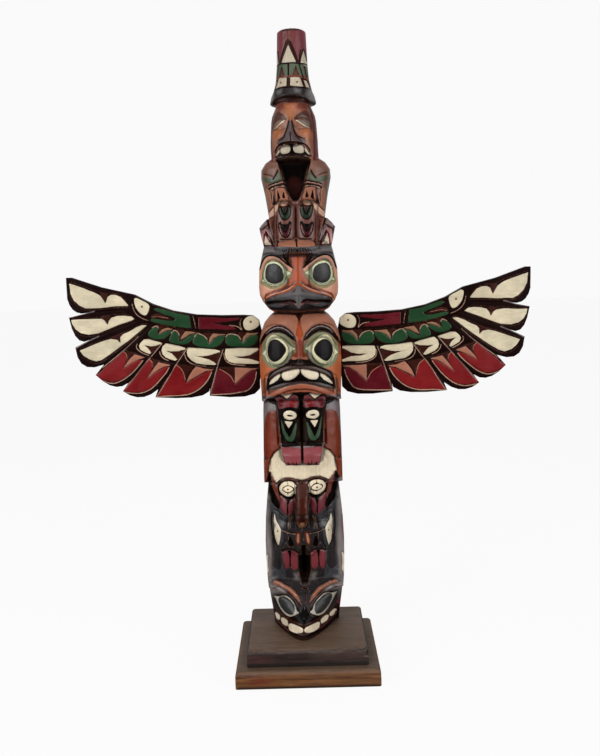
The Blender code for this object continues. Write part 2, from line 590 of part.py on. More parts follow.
def make_wing(name, side):
    """A board cut to the outline of the feathers, with a raised bar along the top and carved lines."""
    outline = list(WING_TOP_EDGE)
    for tip, low, notch in FEATHERS:
        outline += [tip] + curved_edge(tip, low, notch)
    outline += [(float(outline_at(z)[0]) + GAP, z) for z in WING_ROOT_HEIGHTS]
    flat = slab(outline, side, WING_FRONT, WING_FRONT - WING_THICK)
    piece = finish(name, flat, WING_COLOUR, PAINT_ROUGHNESS, False)
    bar = [(px + GAP, pz - GAP) for px, pz in WING_TOP_EDGE if px < BAR_END] + list(BAR_LOWER_EDGE)
    raised = slab(bar, side, WING_FRONT + BAR_RISE, WING_FRONT - BAR_BED)
    join(piece, finish(name + "_bar", raised, WING_COLOUR, PAINT_ROUGHNESS, False), 'UNION')
    for part, lines in (("_rows", ROW_LINES), ("_feathers", FEATHER_LINES)):
        cutters = bmesh.new()
        for line in lines:
            add_groove(cutters, line, side)
        join(piece, finish(name + part, cutters, WING_COLOUR, PAINT_ROUGHNESS, False), 'DIFFERENCE')
    return piece


for old in list(bpy.data.objects):
    bpy.data.objects.remove(old, do_unlink=True)

make_board("plinth_lower", LOWER_WIDTH, LOWER_DEPTH, LOWER_THICK, 0.0, LOWER_COLOUR)
make_board("plinth_upper", UPPER_WIDTH, UPPER_DEPTH, UPPER_THICK, LOWER_THICK + GAP, UPPER_COLOUR)
make_pole()
make_wing("wing_left", -1.0)
make_wing("wing_right", 1.0)
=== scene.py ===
# %% [markdown]
# # A carved totem pole with two wings
# The real object is a model totem pole: one billet of soft cedar carved with five stacked figures, the
# top one under a tall hat, painted and varnished. Two thin wing boards are butted against the cheeks of the
# winged head, and the pole stands on two stepped boards. The solid model fixes every place and size, so
# this lesson only makes the fine carving, the paint and the wood, in the same place and to the same sizes.

import json
import math

import bmesh
import bpy
import numpy as np
from mathutils import Matrix, Vector

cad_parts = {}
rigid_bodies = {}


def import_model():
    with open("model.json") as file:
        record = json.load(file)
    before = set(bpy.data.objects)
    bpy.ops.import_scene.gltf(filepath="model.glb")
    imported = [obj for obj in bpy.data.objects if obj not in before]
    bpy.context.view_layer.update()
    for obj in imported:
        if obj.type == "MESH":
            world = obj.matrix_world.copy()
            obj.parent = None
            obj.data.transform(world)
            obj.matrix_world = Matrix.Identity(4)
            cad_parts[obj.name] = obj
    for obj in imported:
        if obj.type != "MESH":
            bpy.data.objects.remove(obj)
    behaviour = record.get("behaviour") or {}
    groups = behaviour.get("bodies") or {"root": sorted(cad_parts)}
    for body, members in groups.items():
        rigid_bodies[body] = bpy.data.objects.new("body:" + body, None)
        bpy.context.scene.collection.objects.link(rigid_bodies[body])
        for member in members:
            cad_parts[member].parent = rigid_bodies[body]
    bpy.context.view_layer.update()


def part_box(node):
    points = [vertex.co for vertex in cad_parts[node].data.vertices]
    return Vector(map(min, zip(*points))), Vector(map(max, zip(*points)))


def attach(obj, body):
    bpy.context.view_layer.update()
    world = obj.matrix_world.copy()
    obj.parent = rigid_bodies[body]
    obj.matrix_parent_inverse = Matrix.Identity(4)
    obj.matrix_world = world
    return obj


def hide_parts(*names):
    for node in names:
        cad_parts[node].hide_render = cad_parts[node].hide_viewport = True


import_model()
MM = 0.001

# %% [markdown]
# ## Camera, floor and light
# The pole stands on white paper in a white room, which shows a dark carving plainly. The camera has a short
# lens and stands a little above the middle of the pole. It is turned by its own axes, because it leans a
# hair to one side. The white world is the room. Two broad lamps beside the camera and a weak one over it
# give the varnish something to shine with.

# %% Camera
# Place in metres, angles in radians, film and lens in millimetres
CAMERA_PLACE = Vector((-0.00083, -0.6667, 0.366))
CAMERA_TILT = 0.1439
CAMERA_LEAN = 0.0248
FILM = 36.0
FOCAL_LENGTH = 35.7143

lens = bpy.data.cameras.new("camera")
lens.sensor_fit = 'AUTO'
lens.sensor_width = FILM
lens.lens = FOCAL_LENGTH
lens.clip_start = 0.01
camera = bpy.data.objects.new("camera", lens)
bpy.context.scene.collection.objects.link(camera)
forward = Vector((0.0, math.cos(CAMERA_TILT), -math.sin(CAMERA_TILT)))
up = Vector((0.0, math.sin(CAMERA_TILT), math.cos(CAMERA_TILT)))
right = Vector((1.0, 0.0, 0.0))
lean_right = right * math.cos(CAMERA_LEAN) - up * math.sin(CAMERA_LEAN)
lean_up = up * math.cos(CAMERA_LEAN) + right * math.sin(CAMERA_LEAN)
turned = Matrix((lean_right, lean_up, -forward)).transposed().to_4x4()
camera.matrix_world = Matrix.Translation(CAMERA_PLACE) @ turned
bpy.context.scene.camera = camera
print("camera: lens", round(lens.lens, 2), "mm on", FILM, "mm film")


# %% Nodes and materials
def node(tree, kind, links=None, **settings):
    """Add a node, set its properties, and connect or set its inputs from a dictionary."""
    made = tree.nodes.new(kind)
    for key, value in settings.items():
        setattr(made, key, value)
    for key, value in (links or {}).items():
        if isinstance(value, bpy.types.NodeSocket):
            tree.links.new(value, made.inputs[key])
        else:
            made.inputs[key].default_value = value
    return made


def new_material(name):
    material = bpy.data.materials.new(name)
    material.use_nodes = True
    return material, material.node_tree, material.node_tree.nodes["Principled BSDF"]


print("helpers for nodes ready")

# %% Floor
FLOOR_RADIUS = 8.0
PAPER_SHADE = 0.06
PAPER_GLOW = 0.925
WHITE = (1.0, 1.0, 1.0, 1.0)

paper = bmesh.new()
bmesh.ops.create_circle(paper, cap_ends=True, segments=96, radius=FLOOR_RADIUS)
floor_mesh = bpy.data.meshes.new("floor")
paper.to_mesh(floor_mesh)
paper.free()
floor = bpy.data.objects.new("floor", floor_mesh)
bpy.context.scene.collection.objects.link(floor)

white_paper, tree, shader = new_material("white_paper")
seen = node(tree, 'ShaderNodeLightPath').outputs["Is Camera Ray"]
glow = node(tree, 'ShaderNodeMath', {0: seen, 1: PAPER_GLOW}, operation='MULTIPLY')
tree.links.new(glow.outputs[0], shader.inputs["Emission Strength"])
shader.inputs["Emission Color"].default_value = WHITE
shader.inputs["Base Color"].default_value = (PAPER_SHADE, PAPER_SHADE, PAPER_SHADE, 1.0)
shader.inputs["Roughness"].default_value = 0.9
shader.inputs["Specular IOR Level"].default_value = 0.0
floor_mesh.materials.append(white_paper)
print("floor:", 2 * FLOOR_RADIUS, "m across")

# %% Room and lamps
ROOM_WHITE = 0.955
ROOM_FRONT = 0.10
ROOM_BACK = 0.55
ROOM_TURN = (0.0, 0.6)
# Each lamp: its place and target in metres, its size in metres and its power in watts
LAMPS = {
    "left_lamp": ((-1.1, -1.0, 0.6), (0.0, 0.0, 0.27), 0.85, 17.0),
    "right_lamp": ((1.1, -1.0, 0.5), (0.0, 0.0, 0.27), 0.85, 14.0),
    "high_lamp": ((0.0, -0.7, 1.3), (0.0, 0.0, 0.2), 0.7, 4.0),
}

room = bpy.data.worlds.new("studio")
room.use_nodes = True
tree = room.node_tree
heading = node(tree, 'ShaderNodeSeparateXYZ', {0: node(tree, 'ShaderNodeTexCoord').outputs["Generated"]})
behind = node(tree, 'ShaderNodeMapRange', {0: heading.outputs["Y"], 1: ROOM_TURN[0], 2: ROOM_TURN[1],
                                           3: ROOM_FRONT, 4: ROOM_BACK})
seen = node(tree, 'ShaderNodeLightPath').outputs["Is Camera Ray"]
strength = node(tree, 'ShaderNodeMix', {"Factor": seen, "A": behind.outputs[0], "B": ROOM_WHITE})
tree.links.new(strength.outputs["Result"], tree.nodes["Background"].inputs["Strength"])
tree.nodes["Background"].inputs["Color"].default_value = WHITE
bpy.context.scene.world = room
bpy.context.scene.view_settings.view_transform = 'Standard'

for name, (place, target, size, power) in LAMPS.items():
    light = bpy.data.lights.new(name, 'AREA')
    light.size = size
    light.energy = power
    lamp = bpy.data.objects.new(name, light)
    lamp.location = place
    lamp.rotation_euler = (Vector(target) - Vector(place)).to_track_quat('-Z', 'Y').to_euler()
    bpy.context.scene.collection.objects.link(lamp)
print("room with", len(LAMPS), "lamps")

# %% [markdown]
# ## Helpers for carving
# Wood carving is mostly taking a surface down to a new depth inside a knife line, and rounding what is
# left. Each helper works on whole arrays: `side` is the distance from the centre line, `z` the height and
# `reach` how far a surface comes forward, all in millimetres.

# %% Carving helpers
SOFT = 0.5


def ease(value, low, high):
    """A soft step from 0 at low to 1 at high."""
    t = np.clip((value - low) / (high - low), 0.0, 1.0)
    return t * t * (3.0 - 2.0 * t)


def between(z, low, high, soft=SOFT):
    return ease(z, low - soft / 2, low + soft / 2) * (1.0 - ease(z, high - soft / 2, high + soft / 2))


def within(side, half, soft=SOFT):
    return 1.0 - ease(side, half - soft, half + soft)


def column(z, table, i):
    """One column of a table that is sorted by height, read at the height z."""
    return np.interp(z, [row[0] for row in table], [row[i] for row in table])


def lay(reach, target, mask):
    """Bring the surface to the target reach wherever the mask is 1."""
    return reach + (target - reach) * mask


def stand_out(reach, form, mask):
    """Raise the surface to a form that stands out of it, inside the mask."""
    return np.where(mask, np.maximum(reach, form), reach)


def fullness(side, z, form):
    """1 at the middle of an oval form and 0 at its rim and beyond."""
    centre, height, half_width, half_height = form[:4]
    spread = ((side - centre) / half_width) ** 2 + ((z - height) / half_height) ** 2
    return np.clip(1.0 - spread, 0.0, 1.0)


def dome(side, z, form):
    """Height of a rounded form over its surroundings; a negative one is a hollow."""
    return form[4] * np.sqrt(fullness(side, z, form))


def dish(side, z, form):
    """The same for a shallow form, which fades out at its rim."""
    return form[4] * fullness(side, z, form) ** 1.5


def arch(side, centre, half):
    return np.sqrt(np.clip(1.0 - ((side - centre) / half) ** 2, 0.0, 1.0))


def crested(side, half, crest, foot, power):
    """A nose or a beak, which falls from its crest to the reach of its foot at the half width."""
    return crest - (crest - foot) * np.clip(side / half, 0.0, 1.0) ** power


def unevenness(u, v, seed):
    """Smooth random waves between -1 and 1, about one unit long: the small errors of a hand with a knife."""
    table = np.random.default_rng(seed).uniform(-1.0, 1.0, (64, 64))
    i = np.floor(u).astype(int)
    j = np.floor(v).astype(int)
    s = ease(u - i, 0.0, 1.0)
    t = ease(v - j, 0.0, 1.0)
    low = table[i % 64, j % 64] * (1.0 - s) + table[(i + 1) % 64, j % 64] * s
    high = table[i % 64, (j + 1) % 64] * (1.0 - s) + table[(i + 1) % 64, (j + 1) % 64] * s
    return low * (1.0 - t) + high * t


print("carving helpers ready, soft edge", SOFT, "mm")

# %% [markdown]
# ## The carved pole
# The pole is one piece of wood, so it is one mesh. It could be sculpted by hand, but here a plain tube from
# `create_cone` is cut into hundreds of rings, and every point is then moved to where the knife left the
# wood. Working by rule keeps it true to the solid model: first the outline of the billet by height, then
# each figure's carving, then the thin cuts round the paint.

# %% Heights and outline of the pole
LEDGE = 0.35
# Heights where one carved figure ends over the next
POLE_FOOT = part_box("pole")[0][2] / MM
SNOUT_TOP = 84.0
BEAK_3_UNDER = 137.0
PANEL_END = 175.2
TOE_2 = 196.0
CHIN_2 = 250.5
BEAK_1_UNDER = 329.4
TOE_1 = 378.6
EAR_FOOT = 387.0
EAR_TOP = 409.6
HAND_END = 424.0
CHIN_1 = 457.6
SHOULDER_TOP = 460.6
BRIM_UNDER = 505.8
POLE_TOP = 565.4

# Outline of the pole by height: height, half width, reach of the widest line, of the front and of the back,
# squareness of the front, squareness of the back. The back of the billet is flat and was left at BACK.
BACK = -40.0
OUTLINE = (
    (POLE_FOOT, 30.8, -16, 14, -39, 2, 6),
    (45, 31.9, -14, 14, BACK, 2.1, 6),
    (55, 33, -12, 13, BACK, 2.2, 6),
    (67, 34.2, -8, 12, BACK, 2.3, 6),
    (SNOUT_TOP, 35.6, -6, 11, BACK, 2.4, 6),
    (107, 36.3, -5, 12, BACK, 2.5, 6),
    (120, 36.4, -5, 13, BACK, 2.5, 6),
    (141, 35.5, -5, 13.5, BACK, 2.5, 6),
    (158, 33.9, -5, 13.5, BACK, 2.4, 6),
    (PANEL_END - LEDGE, 32, -5, 14, BACK, 2.4, 6),
    (PANEL_END + LEDGE, 35.9, -5, 14, BACK, 2.8, 6),
    (205, 35.7, -5, 13, BACK, 2.8, 6),
    (240, 34.9, -5, 11, BACK, 2.8, 6),
    (CHIN_2 - LEDGE, 34.4, -5, 9, BACK, 2.8, 6),
    (CHIN_2 + LEDGE, 35.8, -5, 17, BACK, 2.5, 6),
    (270, 36.5, -5, 18, BACK, 2.5, 6),
    (289, 36.9, -5, 18, BACK, 2.5, 6),
    (304.5, 36, -5, 17, BACK, 2.4, 6),
    (312, 34.3, -5, 16, BACK, 2.3, 6),
    (320, 31.2, -5, 14, BACK, 2.2, 5),
    (325.5, 26.5, -6, 11, -39, 2.2, 5),
    (BEAK_1_UNDER - LEDGE, 21.8, -6, 8, -38, 2.2, 5),
    (BEAK_1_UNDER + LEDGE, 22.3, -6, 12, -38, 2.2, 5),
    (332, 26.7, -5, 12.5, -39, 2.3, 5),
    (338, 31.8, -5, 13, BACK, 2.4, 6),
    (344, 34.6, -5, 13.5, BACK, 2.5, 6),
    (351, 35.2, -5, 14, BACK, 2.5, 6),
    (367, 34.5, -5, 15, BACK, 2.5, 6),
    (380, 31.4, -5, 15.5, BACK, 2.5, 6),
    (386, 29.8, -5, 14, BACK, 2.6, 6),
    (EAR_FOOT + 1, 30.2, -5, 6, BACK, 3, 6),
    (402.5, 33.4, -5, 6, BACK, 3, 6),
    (EAR_TOP, 26, -5, 5, BACK, 2.6, 6),
    (EAR_TOP + 0.9, 24.4, -5, 12, -39, 2.5, 6),
    (430, 27.3, -5, 13.5, -38, 2.5, 5),
    (444.5, 30.3, -6, 13.5, -37, 2.5, 5),
    (451.5, 29.9, -6, 13, -36, 2.4, 4),
    (457, 26.2, -6, 12.5, -34, 2.4, 4),
    (SHOULDER_TOP - LEDGE, 21.6, -7, 12.5, -31, 2.3, 3.5),
    (SHOULDER_TOP + LEDGE, 20.6, -7, 12.5, -29, 2.3, 3),
    (466, 20.6, -7, 12.9, -28, 2.3, 3),
    (475, 20.5, -7, 13, -27, 2.3, 3),
    (483, 20, -7, 13, -26, 2.3, 2.8),
    (491.7, 19.4, -7, 12.5, -25, 2.2, 2.5),
    (496, 18.6, -7, 11.8, -24.4, 2.1, 2.3),
    (500, 16.9, -7, 10.8, -23, 2, 2.2),
    (503.5, 15.3, -6.5, 9.6, -21.5, 2, 2.1),
    (BRIM_UNDER - LEDGE, 14.8, -6, 9, -20.5, 2, 2),
    (BRIM_UNDER + LEDGE, 19.8, -6, 13.8, -25.8, 2, 2),
    (508, 19.7, -6, 13.7, -25.7, 2, 2),
    (512, 18.7, -6, 12.7, -24.7, 2, 2),
    (517, 16.5, -6, 10.5, -22.5, 2, 2),
    (526, 14.2, -6, 8.2, -20.2, 2, 2),
    (537, 13.2, -6, 7.2, -19.2, 2, 2),
    (564.4, 12.2, -6, 6.2, -18.2, 2, 2),
    (565, 11.6, -6, 5.6, -17.6, 2, 2),
    (POLE_TOP, 10.8, -6, 4.8, -16.8, 2, 2),
)


def outline_at(z):
    return [column(z, OUTLINE, i) for i in range(1, 7)]


print("pole: from", round(POLE_FOOT, 1), "to", POLE_TOP, "mm")


# %% The tube of rings
# Columns are closest together on the front, where the carving is.
RINGS = 690
COLUMNS = 140
COLUMN_TURNS = ((0, -180.0), (11, -90.0), (129, 90.0), (140, 180.0))


def make_tube():
    """A closed tube of rings; its corners remember their ring and column by height and angle."""
    tube = bmesh.new()
    bmesh.ops.create_cone(tube, cap_ends=True, segments=COLUMNS, radius1=1.0, radius2=1.0, depth=1.0)
    upright = [e for e in tube.edges if abs(e.verts[0].co.z - e.verts[1].co.z) > 0.5]
    bmesh.ops.subdivide_edges(tube, edges=upright, cuts=RINGS - 2, use_grid_fill=True)
    return tube


def write_mesh(name, form):
    """Turn a bmesh into an object that rides on the root body."""
    bmesh.ops.recalc_face_normals(form, faces=form.faces)
    mesh = bpy.data.meshes.new(name)
    form.to_mesh(mesh)
    form.free()
    piece = bpy.data.objects.new(name, mesh)
    bpy.context.scene.collection.objects.link(piece)
    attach(piece, "root")
    return piece


def corners(mesh):
    place = np.empty(len(mesh.vertices) * 3)
    mesh.vertices.foreach_get("co", place)
    return place.reshape(-1, 3)


def move_corners(mesh, place):
    mesh.vertices.foreach_set("co", place.reshape(-1))
    mesh.update()


pole = write_mesh("totem_pole", make_tube())
spot = corners(pole.data)
ring = np.rint((spot[:, 2] + 0.5) * (RINGS - 1)).astype(int)
lap = np.rint(np.arctan2(spot[:, 1], spot[:, 0]) / math.tau * COLUMNS).astype(int) % COLUMNS
turn = np.radians(np.interp(lap, *zip(*COLUMN_TURNS)))
z = POLE_FOOT + (POLE_TOP - POLE_FOOT) * ring / (RINGS - 1)
print("tube:", len(spot), "corners in", RINGS, "rings")

# %% [markdown]
# ## The figures
# Each figure is carved the same on both sides of its centre line, as such figures are: the rule for one
# half serves for both. Rounded forms are domes, noses and beaks are ridges, and mouths are flats set back.
# The figures are turned a few degrees on the pole, because the carver's centre line wanders.

# %% The man
# Rounded forms: distance from the centre line, height, half width, half height, how far they stand out
MAN_SOCKET = (9.5, 487.0, 9.0, 7.5, -2.8)
MAN_LID = (9.8, 488.2, 8.6, 5.2, 2.4)
# Crests: height, half width, reach
MAN_NOSE = (
    (470.2, 11.5, 20.5), (472.3, 10.5, 21.5), (476.0, 6.0, 19.9), (482.0, 3.8, 17.5), (493.0, 2.2, 12.8),
)
MAN_NOSE_FOOT = 11.0
MAN_NOSE_POWER = 1.6
# Flats: lower edge, upper edge, half width, reach
MAN_MOUTH = (461.3, 469.8, 13.1, 13.4)
MAN_LIP = (CHIN_1, 461.0, 13.0, 16.0)
MOUTH_CURVE = 0.035
FACE_CURVE = 0.02
HOLLOW_HALF = ((HAND_END, 1.6), (430.0, 6.6), (440.0, 9.4), (CHIN_1, 14.0))
HOLLOW_REACH = 3.0
HAND_TOP = 436.0
HAND_REACH = 16.0
HAND_OUTER = 17.0
HAND_SOFT = 1.2
LEG_1_CENTRE = 9.2
LEG_1_HALF = 9.0
LEG_1_REACH = 19.5
LEG_1_BED = 12.5
KNEE_1 = (427.5, 418.0)
FOOT_1_HALF = 18.2
FOOT_1_REACH = (19.0, 25.5)
FOOT_1_RISE = (392.5, 384.0)
TOE_FADE = 4.0
TOE_FADE_HEIGHTS = (381.0, 384.5)
PIT_EDGE = ((TOE_1, 19.0), (386.0, 20.5), (EAR_TOP, 25.0))
PIT_REACH = 6.5
PIT_SOFT = 0.8


def carve_man(side, z, reach):
    reach = reach + dish(side, z, MAN_SOCKET) + dish(side, z, MAN_LID)
    half = column(z, MAN_NOSE, 1)
    nose = crested(side, half, column(z, MAN_NOSE, 2), MAN_NOSE_FOOT, MAN_NOSE_POWER)
    reach = stand_out(reach, nose, (z > MAN_NOSE[0][0]) & (z < MAN_NOSE[-1][0]) & (side < half))
    for (low, high, half, target), curve in ((MAN_MOUTH, MOUTH_CURVE), (MAN_LIP, MOUTH_CURVE / 2)):
        inside = between(z + curve * side ** 2, low, high) * within(side, half)
        reach = lay(reach, target - FACE_CURVE * side ** 2, inside)
    half = column(z, HOLLOW_HALF, 1)
    reach = lay(reach, HOLLOW_REACH, between(z, HAND_END, CHIN_1) * within(side, half))
    hand = between(z, HAND_END, HAND_TOP, 2.0) * ease(side, half, half + HAND_SOFT)
    reach = lay(reach, HAND_REACH, hand * within(side, HAND_OUTER, 1.0))
    pit = between(z, EAR_FOOT, EAR_TOP, 1.0) * within(side, column(z, PIT_EDGE, 1), PIT_SOFT)
    reach = lay(reach, PIT_REACH, pit * (side > LEG_1_CENTRE))
    leg = LEG_1_BED + (LEG_1_REACH - LEG_1_BED) * arch(side, LEG_1_CENTRE, LEG_1_HALF)
    in_leg = (z > TOE_1) & (z < KNEE_1[0]) & (side < LEG_1_CENTRE + LEG_1_HALF)
    reach = stand_out(reach, leg * ease(z, *KNEE_1), in_leg)
    near, far = FOOT_1_REACH
    foot = near + (far - near) * ease(z, *FOOT_1_RISE) - FACE_CURVE / 2 * side ** 2
    soft = SOFT + TOE_FADE * (1.0 - ease(z, *TOE_FADE_HEIGHTS))
    edge = 1.0 - ease(side, FOOT_1_HALF - 2.0 * soft, FOOT_1_HALF + soft)
    return lay(reach, np.maximum(reach, foot), between(z, TOE_1, FOOT_1_RISE[0]) * edge)


print("the man: from", TOE_1, "to", MAN_NOSE[-1][0], "mm")

# %% The brim of the hat
# Half width, rise and depth of the hollow under the brim
BRIM_ARCH = (16.5, 4.0, 3.4)


def carve_brim(side, z, reach):
    """The brim is hollowed from below over the forehead."""
    half, high, deep = BRIM_ARCH
    top = BRIM_UNDER + high * arch(side, 0.0, half)
    return reach - deep * (1.0 - ease(z, top - SOFT, top + SOFT / 2)) * (side < half)


print("the brim: hollowed", BRIM_ARCH[2], "mm deep")

# %% The hooked-beak head and ears
HAWK_SOCKET = (21.5, 364.0, 13.0, 14.5, -3.2)
HAWK_EYE = (21.5, 363.8, 9.6, 10.5, 3.0)
EAR_HOLLOW = (26.8, 394.5, 5.0, 9.5, -3.0)
EAR_REACH = 7.0
EAR_RIM = 31.5
# Brow: centre, half width, height of its foot, rise of its arch, top, how far it stands out
HAWK_BROW = (24.0, 18.0, 367.0, 13.5, 386.2, 2.2)
# Bridge of the beak: half width, lowest and highest place, reach, fall to the side
HAWK_BRIDGE = (8.5, 350.0, 379.0, 18.5, 0.35)
HAWK_BEAK_TOP = 354.5
HAWK_BEAK_SLOPE = 0.47
HAWK_BEAK_HALF = 28.5
HAWK_BEAK_FOOT = 2.0
HAWK_BEAK_POWER = 1.25
HAWK_BEAK = ((BEAK_1_UNDER, 26.0), (333.0, 28.0), (343.0, 27.5), (HAWK_BEAK_TOP, 19.0))
# Cut of the mouth: lower edge, upper edge, inner end, outer end, depth
HAWK_MOUTH = (336.6, 338.8, 4.0, 24.0, 1.6)


def carve_hawk(side, z, reach):
    edge = column(z, PIT_EDGE, 1)
    ear = between(z, EAR_FOOT, EAR_TOP) * ease(side, edge, edge + 1.0) * (side < EAR_RIM)
    reach = lay(reach, EAR_REACH + dome(side, z, EAR_HOLLOW), ear)
    centre, half, foot, rise, top, height = HAWK_BROW
    brow = between(z, foot + rise * arch(side, centre, half), top, 1.0) * (side > centre - half)
    reach = reach + height * brow * (1.0 - ease(side, centre + half / 3, centre + half / 2))
    reach = reach + dome(side, z, HAWK_SOCKET) + dome(side, z, HAWK_EYE)
    half, low, high, crest, slope = HAWK_BRIDGE
    reach = stand_out(reach, crest - slope * side, (z > low) & (z < high) & (side < half))
    beak = crested(side, HAWK_BEAK_HALF, column(z, HAWK_BEAK, 1), HAWK_BEAK_FOOT, HAWK_BEAK_POWER)
    in_beak = (z < HAWK_BEAK_TOP - HAWK_BEAK_SLOPE * side) & (z > BEAK_1_UNDER) & (side < HAWK_BEAK_HALF)
    reach = stand_out(reach, beak, in_beak)
    low, high, inner, outer, deep = HAWK_MOUTH
    return reach - deep * between(z, low, high) * (side > inner) * (side < outer)


print("the hooked beak: from", BEAK_1_UNDER, "to", HAWK_BEAK_TOP, "mm")

# %% The winged bird's head
BIRD_SOCKET = (19.6, 294.8, 13.8, 14.0, -3.4)
BIRD_EYE = (20.0, 295.0, 9.6, 11.5, 3.4)
# Brow: centre, half width, height of its foot, rise of its arch, thickness, how far it stands out
BIRD_BROW = (20.0, 16.0, 303.0, 15.5, 4.4, 1.8)
BIRD_NOSE = (
    (281.8, 12.0, 25.0), (284.0, 10.5, 26.0), (290.5, 7.0, 24.0), (303.0, 4.5, 19.0), (312.0, 4.5, 16.0),
)
BIRD_NOSE_FOOT = 16.5
BIRD_NOSE_POWER = 1.7
BIRD_LIPS = (262.5, 284.5, 31.3, 21.0)
BIRD_MOUTH = (267.5, 280.3, 29.4, 18.4)
BIRD_SAG = 0.0125
BIRD_CHIN_RISE = 8.0
BIRD_CHIN_HALF = 37.8
NECK_REACH = 10.5


def carve_bird_head(side, z, reach):
    centre, half, foot, rise, thick, height = BIRD_BROW
    brow = foot + rise * arch(side, centre, half)
    reach = reach + height * between(z, brow - thick, brow, 0.8) * (np.abs(side - centre) < half)
    reach = reach + dome(side, z, BIRD_SOCKET) * (z < brow - thick) + dome(side, z, BIRD_EYE)
    half = column(z, BIRD_NOSE, 1)
    nose = crested(side, half, column(z, BIRD_NOSE, 2), BIRD_NOSE_FOOT, BIRD_NOSE_POWER)
    reach = stand_out(reach, nose, (z > BIRD_NOSE[0][0]) & (z < BIRD_NOSE[-1][0]) & (side < half))
    for low, high, half, target in (BIRD_LIPS, BIRD_MOUTH):
        inside = between(z + BIRD_SAG * side ** 2, low, high) * within(side, half)
        reach = lay(reach, target - FACE_CURVE / 2 * side ** 2, inside)
    chin = CHIN_2 + BIRD_CHIN_RISE * arch(side, 0.0, BIRD_CHIN_HALF) ** 2
    return lay(reach, NECK_REACH, between(z, CHIN_2, chin))


print("the winged bird's head: from", CHIN_2, "to", BIRD_NOSE[-1][0], "mm")

# %% Its body
LEG_2_CENTRE = 10.8
LEG_2_HALF = 9.8
LEG_2_REACH = 17.5
LEG_2_BED = 11.0
LEG_2_FOOT = 211.0
TRENCH_HALF = 21.5
TRENCH_REACH = 8.0
FOOT_2_HALF = ((TOE_2, 16.2), (214.0, 20.5))
FOOT_2_REACH = (16.5, 23.5)
FOOT_2_RISE = (214.0, 203.0)
# Groove between the feet: the share of the foot left in it, where it starts, where it ends
FOOT_2_GROOVE = (0.4, 0.3, 1.4)
BIB_HALF = ((PANEL_END, 32.4), (187.0, 32.0), (198.0, 29.5), (205.0, 24.5), (209.0, 17.0))
BIB_DROP = 2.2
# Brow of the bird below: centre, half width, height of its foot, rise of its arch
EAGLE_BROW = (12.5, 11.5, 176.2, 4.6)
EAGLE_HEAD_HALF = 24.0


def carve_bird_body(side, z, reach):
    chin = CHIN_2 + BIRD_CHIN_RISE
    reach = lay(reach, TRENCH_REACH, between(z, LEG_2_FOOT, chin) * within(side, TRENCH_HALF))
    leg = LEG_2_BED + (LEG_2_REACH - LEG_2_BED) * arch(side, LEG_2_CENTRE, LEG_2_HALF)
    in_leg = (z > LEG_2_FOOT) & (z < chin) & (np.abs(side - LEG_2_CENTRE) < LEG_2_HALF)
    reach = stand_out(reach, leg, in_leg)
    near, far = FOOT_2_REACH
    foot = near + (far - near) * ease(z, *FOOT_2_RISE) - FACE_CURVE / 2 * side ** 2
    left, start, end = FOOT_2_GROOVE
    inside = between(z, TOE_2, FOOT_2_RISE[0]) * within(side, column(z, FOOT_2_HALF, 1))
    inside = inside * (left + (1.0 - left) * ease(side, start, end))
    reach = lay(reach, foot, inside)
    centre, half, foot, rise = EAGLE_BROW
    low = np.where(side < EAGLE_HEAD_HALF, foot + rise * arch(side, centre, half), PANEL_END)
    bib = between(z, low, BIB_HALF[-1][0]) * (side < column(z, BIB_HALF, 1)) * (1.0 - inside)
    return reach - BIB_DROP * bib


print("the winged bird's body: from", PANEL_END, "to", CHIN_2, "mm")

# %% The pale-headed bird
EAGLE_EYE = (12.9, 171.8, 8.6, 7.4, 2.4)
EAGLE_CHEEK = (12.5, 152.0, 9.0, 15.0, 2.2)
EAGLE_THIGH = (14.0, 103.0, 9.0, 18.0, 2.0)
EAGLE_BREAST = (0.0, 128.0, 27.0, 22.0, 9.0)
EAGLE_HEAD_REACH = 15.0
# Flat of the face: lower edge, half width, reach
EAGLE_FACE = (141.0, 23.5, 14.3)
# Seam between the breast and the folded wings: height, distance from the centre line
EAGLE_SEAM = ((92.0, 30.0), (112.0, 29.0), (128.0, 25.0), (141.0, 27.5), (160.0, 31.0))
SEAM_DEEP = 0.9
SEAM_WIDTH = 1.8
EAGLE_BEAK = (
    (BEAK_3_UNDER, 2.6, 24.5), (139.5, 4.0, 27.0), (147.0, 6.0, 28.0), (165.0, 6.0, 25.0), (177.4, 6.0, 18.0),
)
EAGLE_BEAK_FALL = 2.5
SLOT = ((80.0, 2.4), (86.0, 3.6), (92.0, 4.8), (117.0, 4.8))
SLOT_REACH = 2.0
SLOT_SOFT = 0.7
# Talons: centre, half width, lowest and highest place, reach at their edge and at their crest
TALON = (4.4, 3.4, 108.0, 132.0, 11.5, 15.0)


